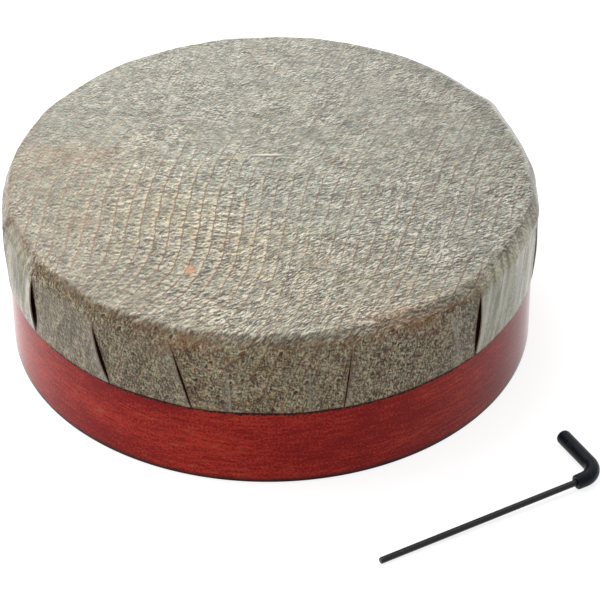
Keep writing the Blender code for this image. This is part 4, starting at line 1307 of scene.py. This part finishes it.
def make_grip(k, material):
    """The dipped grip: a round end, a soft swell at the bend, a slight narrowing and a rolled open end."""
    round_end, roll, hollow = 0.0011, 0.0004, 0.003
    line, heading, grip = key_line(k)
    travel = travelled(line)
    straight = k.short_arm - k.bend
    corner_at = straight + k.bend * np.pi / 4
    end = straight + k.bend * np.pi / 2 + k.cover - k.bend
    keep = travel <= end
    line, heading, travel = line[keep], heading[keep], travel[keep]
    swell = 0.02 * np.exp(-((travel - corner_at) / 0.004) ** 2)
    bulge = 1 + swell - 0.03 * np.exp(-((end - travel) / 0.0012) ** 2)
    cap = np.linspace(0.0, 1.0, 7)
    cap_line = line[0] + heading[0] * round_end * (1 - np.sqrt(1 - np.minimum(cap, 0.999) ** 2))[:, None]
    cap_size = (grip - round_end) * np.minimum(1.0, cap * 3) + round_end * cap
    body = travel > round_end
    bore = k.flats / math.sqrt(3) + 0.00012
    lip = np.linspace(0.0, np.pi / 2, 5)
    last, out = line[-1], heading[-1]
    lip_line = last + out * roll * np.sin(lip)[:, None]
    lip_size = bulge[-1] * grip - roll * (1 - np.cos(lip))
    deep = last + out * np.array((roll, -hollow, -hollow))[:, None]
    rows = np.vstack((cap_line, line[body], lip_line, deep))
    beyond = len(lip) + len(deep)
    headings = np.vstack(([heading[0]] * len(cap), heading[body], [out] * beyond))
    size = np.concatenate((cap_size, grip * bulge[body], lip_size, [bore, bore, 0.0]))
    return swept("vinyl_grip", rows, headings, ring_rows(size, 1.0, turns(40)), material, sharp_deg=50)


def make_floor(s):
    """A white floor that takes the object's shadow, lifted to white where it is seen outside the drum."""
    r = new_material("floor_white")
    x, y, _ = r.split(r.place())
    outside = r.smooth(r.radius(x, y), SHELL_RADIUS - 0.004, SHELL_RADIUS - 0.002)
    r.set(Base_Color=(*s.floor, 1.0), Roughness=0.9, Specular_IOR_Level=0.0,
          Emission_Color=(1.0, 1.0, 1.0, 1.0), Emission_Strength=s.lift * r.seen() * outside)
    reach, level = 6.0, BASE_Z - 0.0001
    corners = [(x, y, level) for x, y in ((-reach, -reach), (reach, -reach), (reach, reach), (-reach, reach))]
    floor = put("floor", corners, [(0, 1, 2, 3)], r.owner)


def make_light(s):
    """White all round, as in a light tent, dimmer on the right in front, with one broad panel overhead."""
    r = Recipe(bpy.data.worlds.new("tent"), "Background")
    bpy.context.scene.world = r.owner
    level = s.sky + (1 - s.sky) * r.seen()
    side = r.arrow("DOT_PRODUCT", r.place("Generated"), (0.85, -0.53, 0.0), out="Value")
    dim = 1 - (1 - s.dim) * r.smooth(side, -0.2, 1.0)
    r.set(Color=(1.0, 1.0, 1.0, 1.0), Strength=level * dim)
    panel = bpy.data.lights.new("panel", "AREA")
    panel.shape = "RECTANGLE"
    panel.size = 1.2
    panel.size_y = 1.0
    panel.energy = s.key
    lamp = shown("panel", panel)
    lamp.location = (-0.50, 0.36, 1.0)
    lamp.rotation_euler = (Vector((0, 0, BASE_Z)) - lamp.location).to_track_quat("-Z", "Y").to_euler()


def turned(first, second, angle):
    """Two directions turned together, the first towards the second."""
    ahead, aside = math.cos(angle), math.sin(angle)
    return ahead * first + aside * second, ahead * second - aside * first


def make_camera(s):
    """The photograph's view: aimed at the base's centre, then tilted, panned and rolled by small angles."""
    eye = Vector(s.eye)
    forward = -eye.normalized()
    right = Vector((1.0, 0.0, 0.0))
    up = right.cross(forward)
    forward, up = turned(forward, up, s.tilt)
    forward, right = turned(forward, right, s.pan)
    right, up = turned(right, up, s.roll)
    lens = bpy.data.cameras.new("camera")
    lens.lens = s.lens
    lens.sensor_width = 36.0
    lens.sensor_fit = "HORIZONTAL"
    camera = shown("camera", lens)
    turn = Matrix((right, up, -forward)).transposed()
    camera.matrix_world = Matrix.Translation(eye + Vector((0, 0, BASE_Z))) @ turn.to_4x4()
    bpy.context.scene.camera = camera


class KANJIRA_OT_skin(bpy.types.Operator):
    """Make the printed skin head with its slit skirt"""
    bl_idname = "kanjira.skin"
    bl_label = "Skin head"

    def execute(self, context):
        s = context.scene.kanjira_skin
        skin = make_skin(s, context.scene.kanjira_shell, skin_print(s))
        dress(skin, "drum", "skin_print", "head")
        return {"FINISHED"}


class KANJIRA_OT_shell(bpy.types.Operator):
    """Make the red varnished shell with its jingle slot"""
    bl_idname = "kanjira.shell"
    bl_label = "Shell"

    def execute(self, context):
        s = context.scene.kanjira_shell
        dress(make_shell(s, red_varnish(s)), "drum", "red_varnish", "shell")
        return {"FINISHED"}


class KANJIRA_OT_tuning(bpy.types.Operator):
    """Make the tuning ring, brackets, fixings and set screws"""
    bl_idname = "kanjira.tuning"
    bl_label = "Tuning works"

    def execute(self, context):
        s = context.scene.kanjira_tuning
        dress(make_ring(sanded_ply(s)), "tuning_ring", "ring_ply", "tuning_ring")
        plate = plated_steel("bracket_steel", s.zinc, 0.30)
        zinc = plated_steel("fixing_zinc", s.zinc, 0.22)
        oxide = black_oxide("screw_steel", s.oxide)
        for number in STATIONS:
            bracket = f"bracket_{number}"
            screw = f"tuning_screw_{number}"
            dress(make_bracket(number, plate), "drum", "bracket_steel", bracket)
            dress(make_screw(number, s, oxide), screw, "screw_steel", screw)
            for letter in FIXING_LETTERS:
                node = f"fixing_{number}{letter}"
                dress(make_fixing(number, letter, zinc), "drum", "fixing_zinc", node)
        return {"FINISHED"}


class KANJIRA_OT_jingles(bpy.types.Operator):
    """Make the pair of jingles and their pin"""
    bl_idname = "kanjira.jingles"
    bl_label = "Jingles"

    def execute(self, context):
        s = context.scene.kanjira_jingle
        low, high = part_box("jingle_pin")
        metal = nickel_silver(s, (low + high) / 2)
        for name, node, up in (("lower_disc", "lower_jingle", False), ("upper_disc", "upper_jingle", True)):
            dress(make_jingle(name, node, up, s, metal), node, "jingle_metal", node)
        zinc = context.scene.kanjira_tuning.zinc
        dress(make_pin(plated_steel("pin_steel", zinc, 0.25)), "drum", "pin_steel", "jingle_pin")
        return {"FINISHED"}


class KANJIRA_OT_key(bpy.types.Operator):
    """Make the tuning key and its dipped grip"""
    bl_idname = "kanjira.key"
    bl_label = "Tuning key"

    def execute(self, context):
        k = context.scene.kanjira_key
        dress(make_key_rod(k, black_oxide("key_steel", k.steel)), "key", "key_steel", "key_rod")
        dress(make_grip(k, dipped_vinyl(k)), "key", "grip_black", "key_sleeve")
        return {"FINISHED"}


class KANJIRA_OT_stage(bpy.types.Operator):
    """Set the floor, the soft light and the camera"""
    bl_idname = "kanjira.stage"
    bl_label = "Stage"

    def execute(self, context):
        s = context.scene.kanjira_stage
        make_floor(s)
        make_light(s)
        make_camera(s)
        context.scene.view_settings.view_transform = "Standard"
        return {"FINISHED"}


STEPS = (KANJIRA_OT_skin, KANJIRA_OT_shell, KANJIRA_OT_tuning, KANJIRA_OT_jingles, KANJIRA_OT_key,
         KANJIRA_OT_stage)


class KANJIRA_PT_looks(bpy.types.Panel):
    """Lists the steps that dress the kanjira"""
    bl_idname = "KANJIRA_PT_looks"
    bl_label = "Kanjira"
    bl_space_type = "VIEW_3D"
    bl_region_type = "UI"
    bl_category = "Kanjira"

    def draw(self, context):
        for step in STEPS:
            self.layout.operator(step.bl_idname)
        for name, group in SETTINGS.items():
            box = self.layout.box()
            box.label(text=group.__name__)
            for key in group.__annotations__:
                box.prop(getattr(context.scene, name), key)


def register():
    for kind in (*SETTINGS.values(), *STEPS, KANJIRA_PT_looks):
        bpy.utils.register_class(kind)
    for name, group in SETTINGS.items():
        setattr(bpy.types.Scene, name, PointerProperty(type=group))


def unregister():
    for name in SETTINGS:
        delattr(bpy.types.Scene, name)
    for kind in reversed((*SETTINGS.values(), *STEPS, KANJIRA_PT_looks)):
        bpy.utils.unregister_class(kind)


def main():
    register()
    for step in STEPS:
        family, name = step.bl_idname.split(".")
        getattr(getattr(bpy.ops, family), name)()


if __name__ == "__main__":
    main()
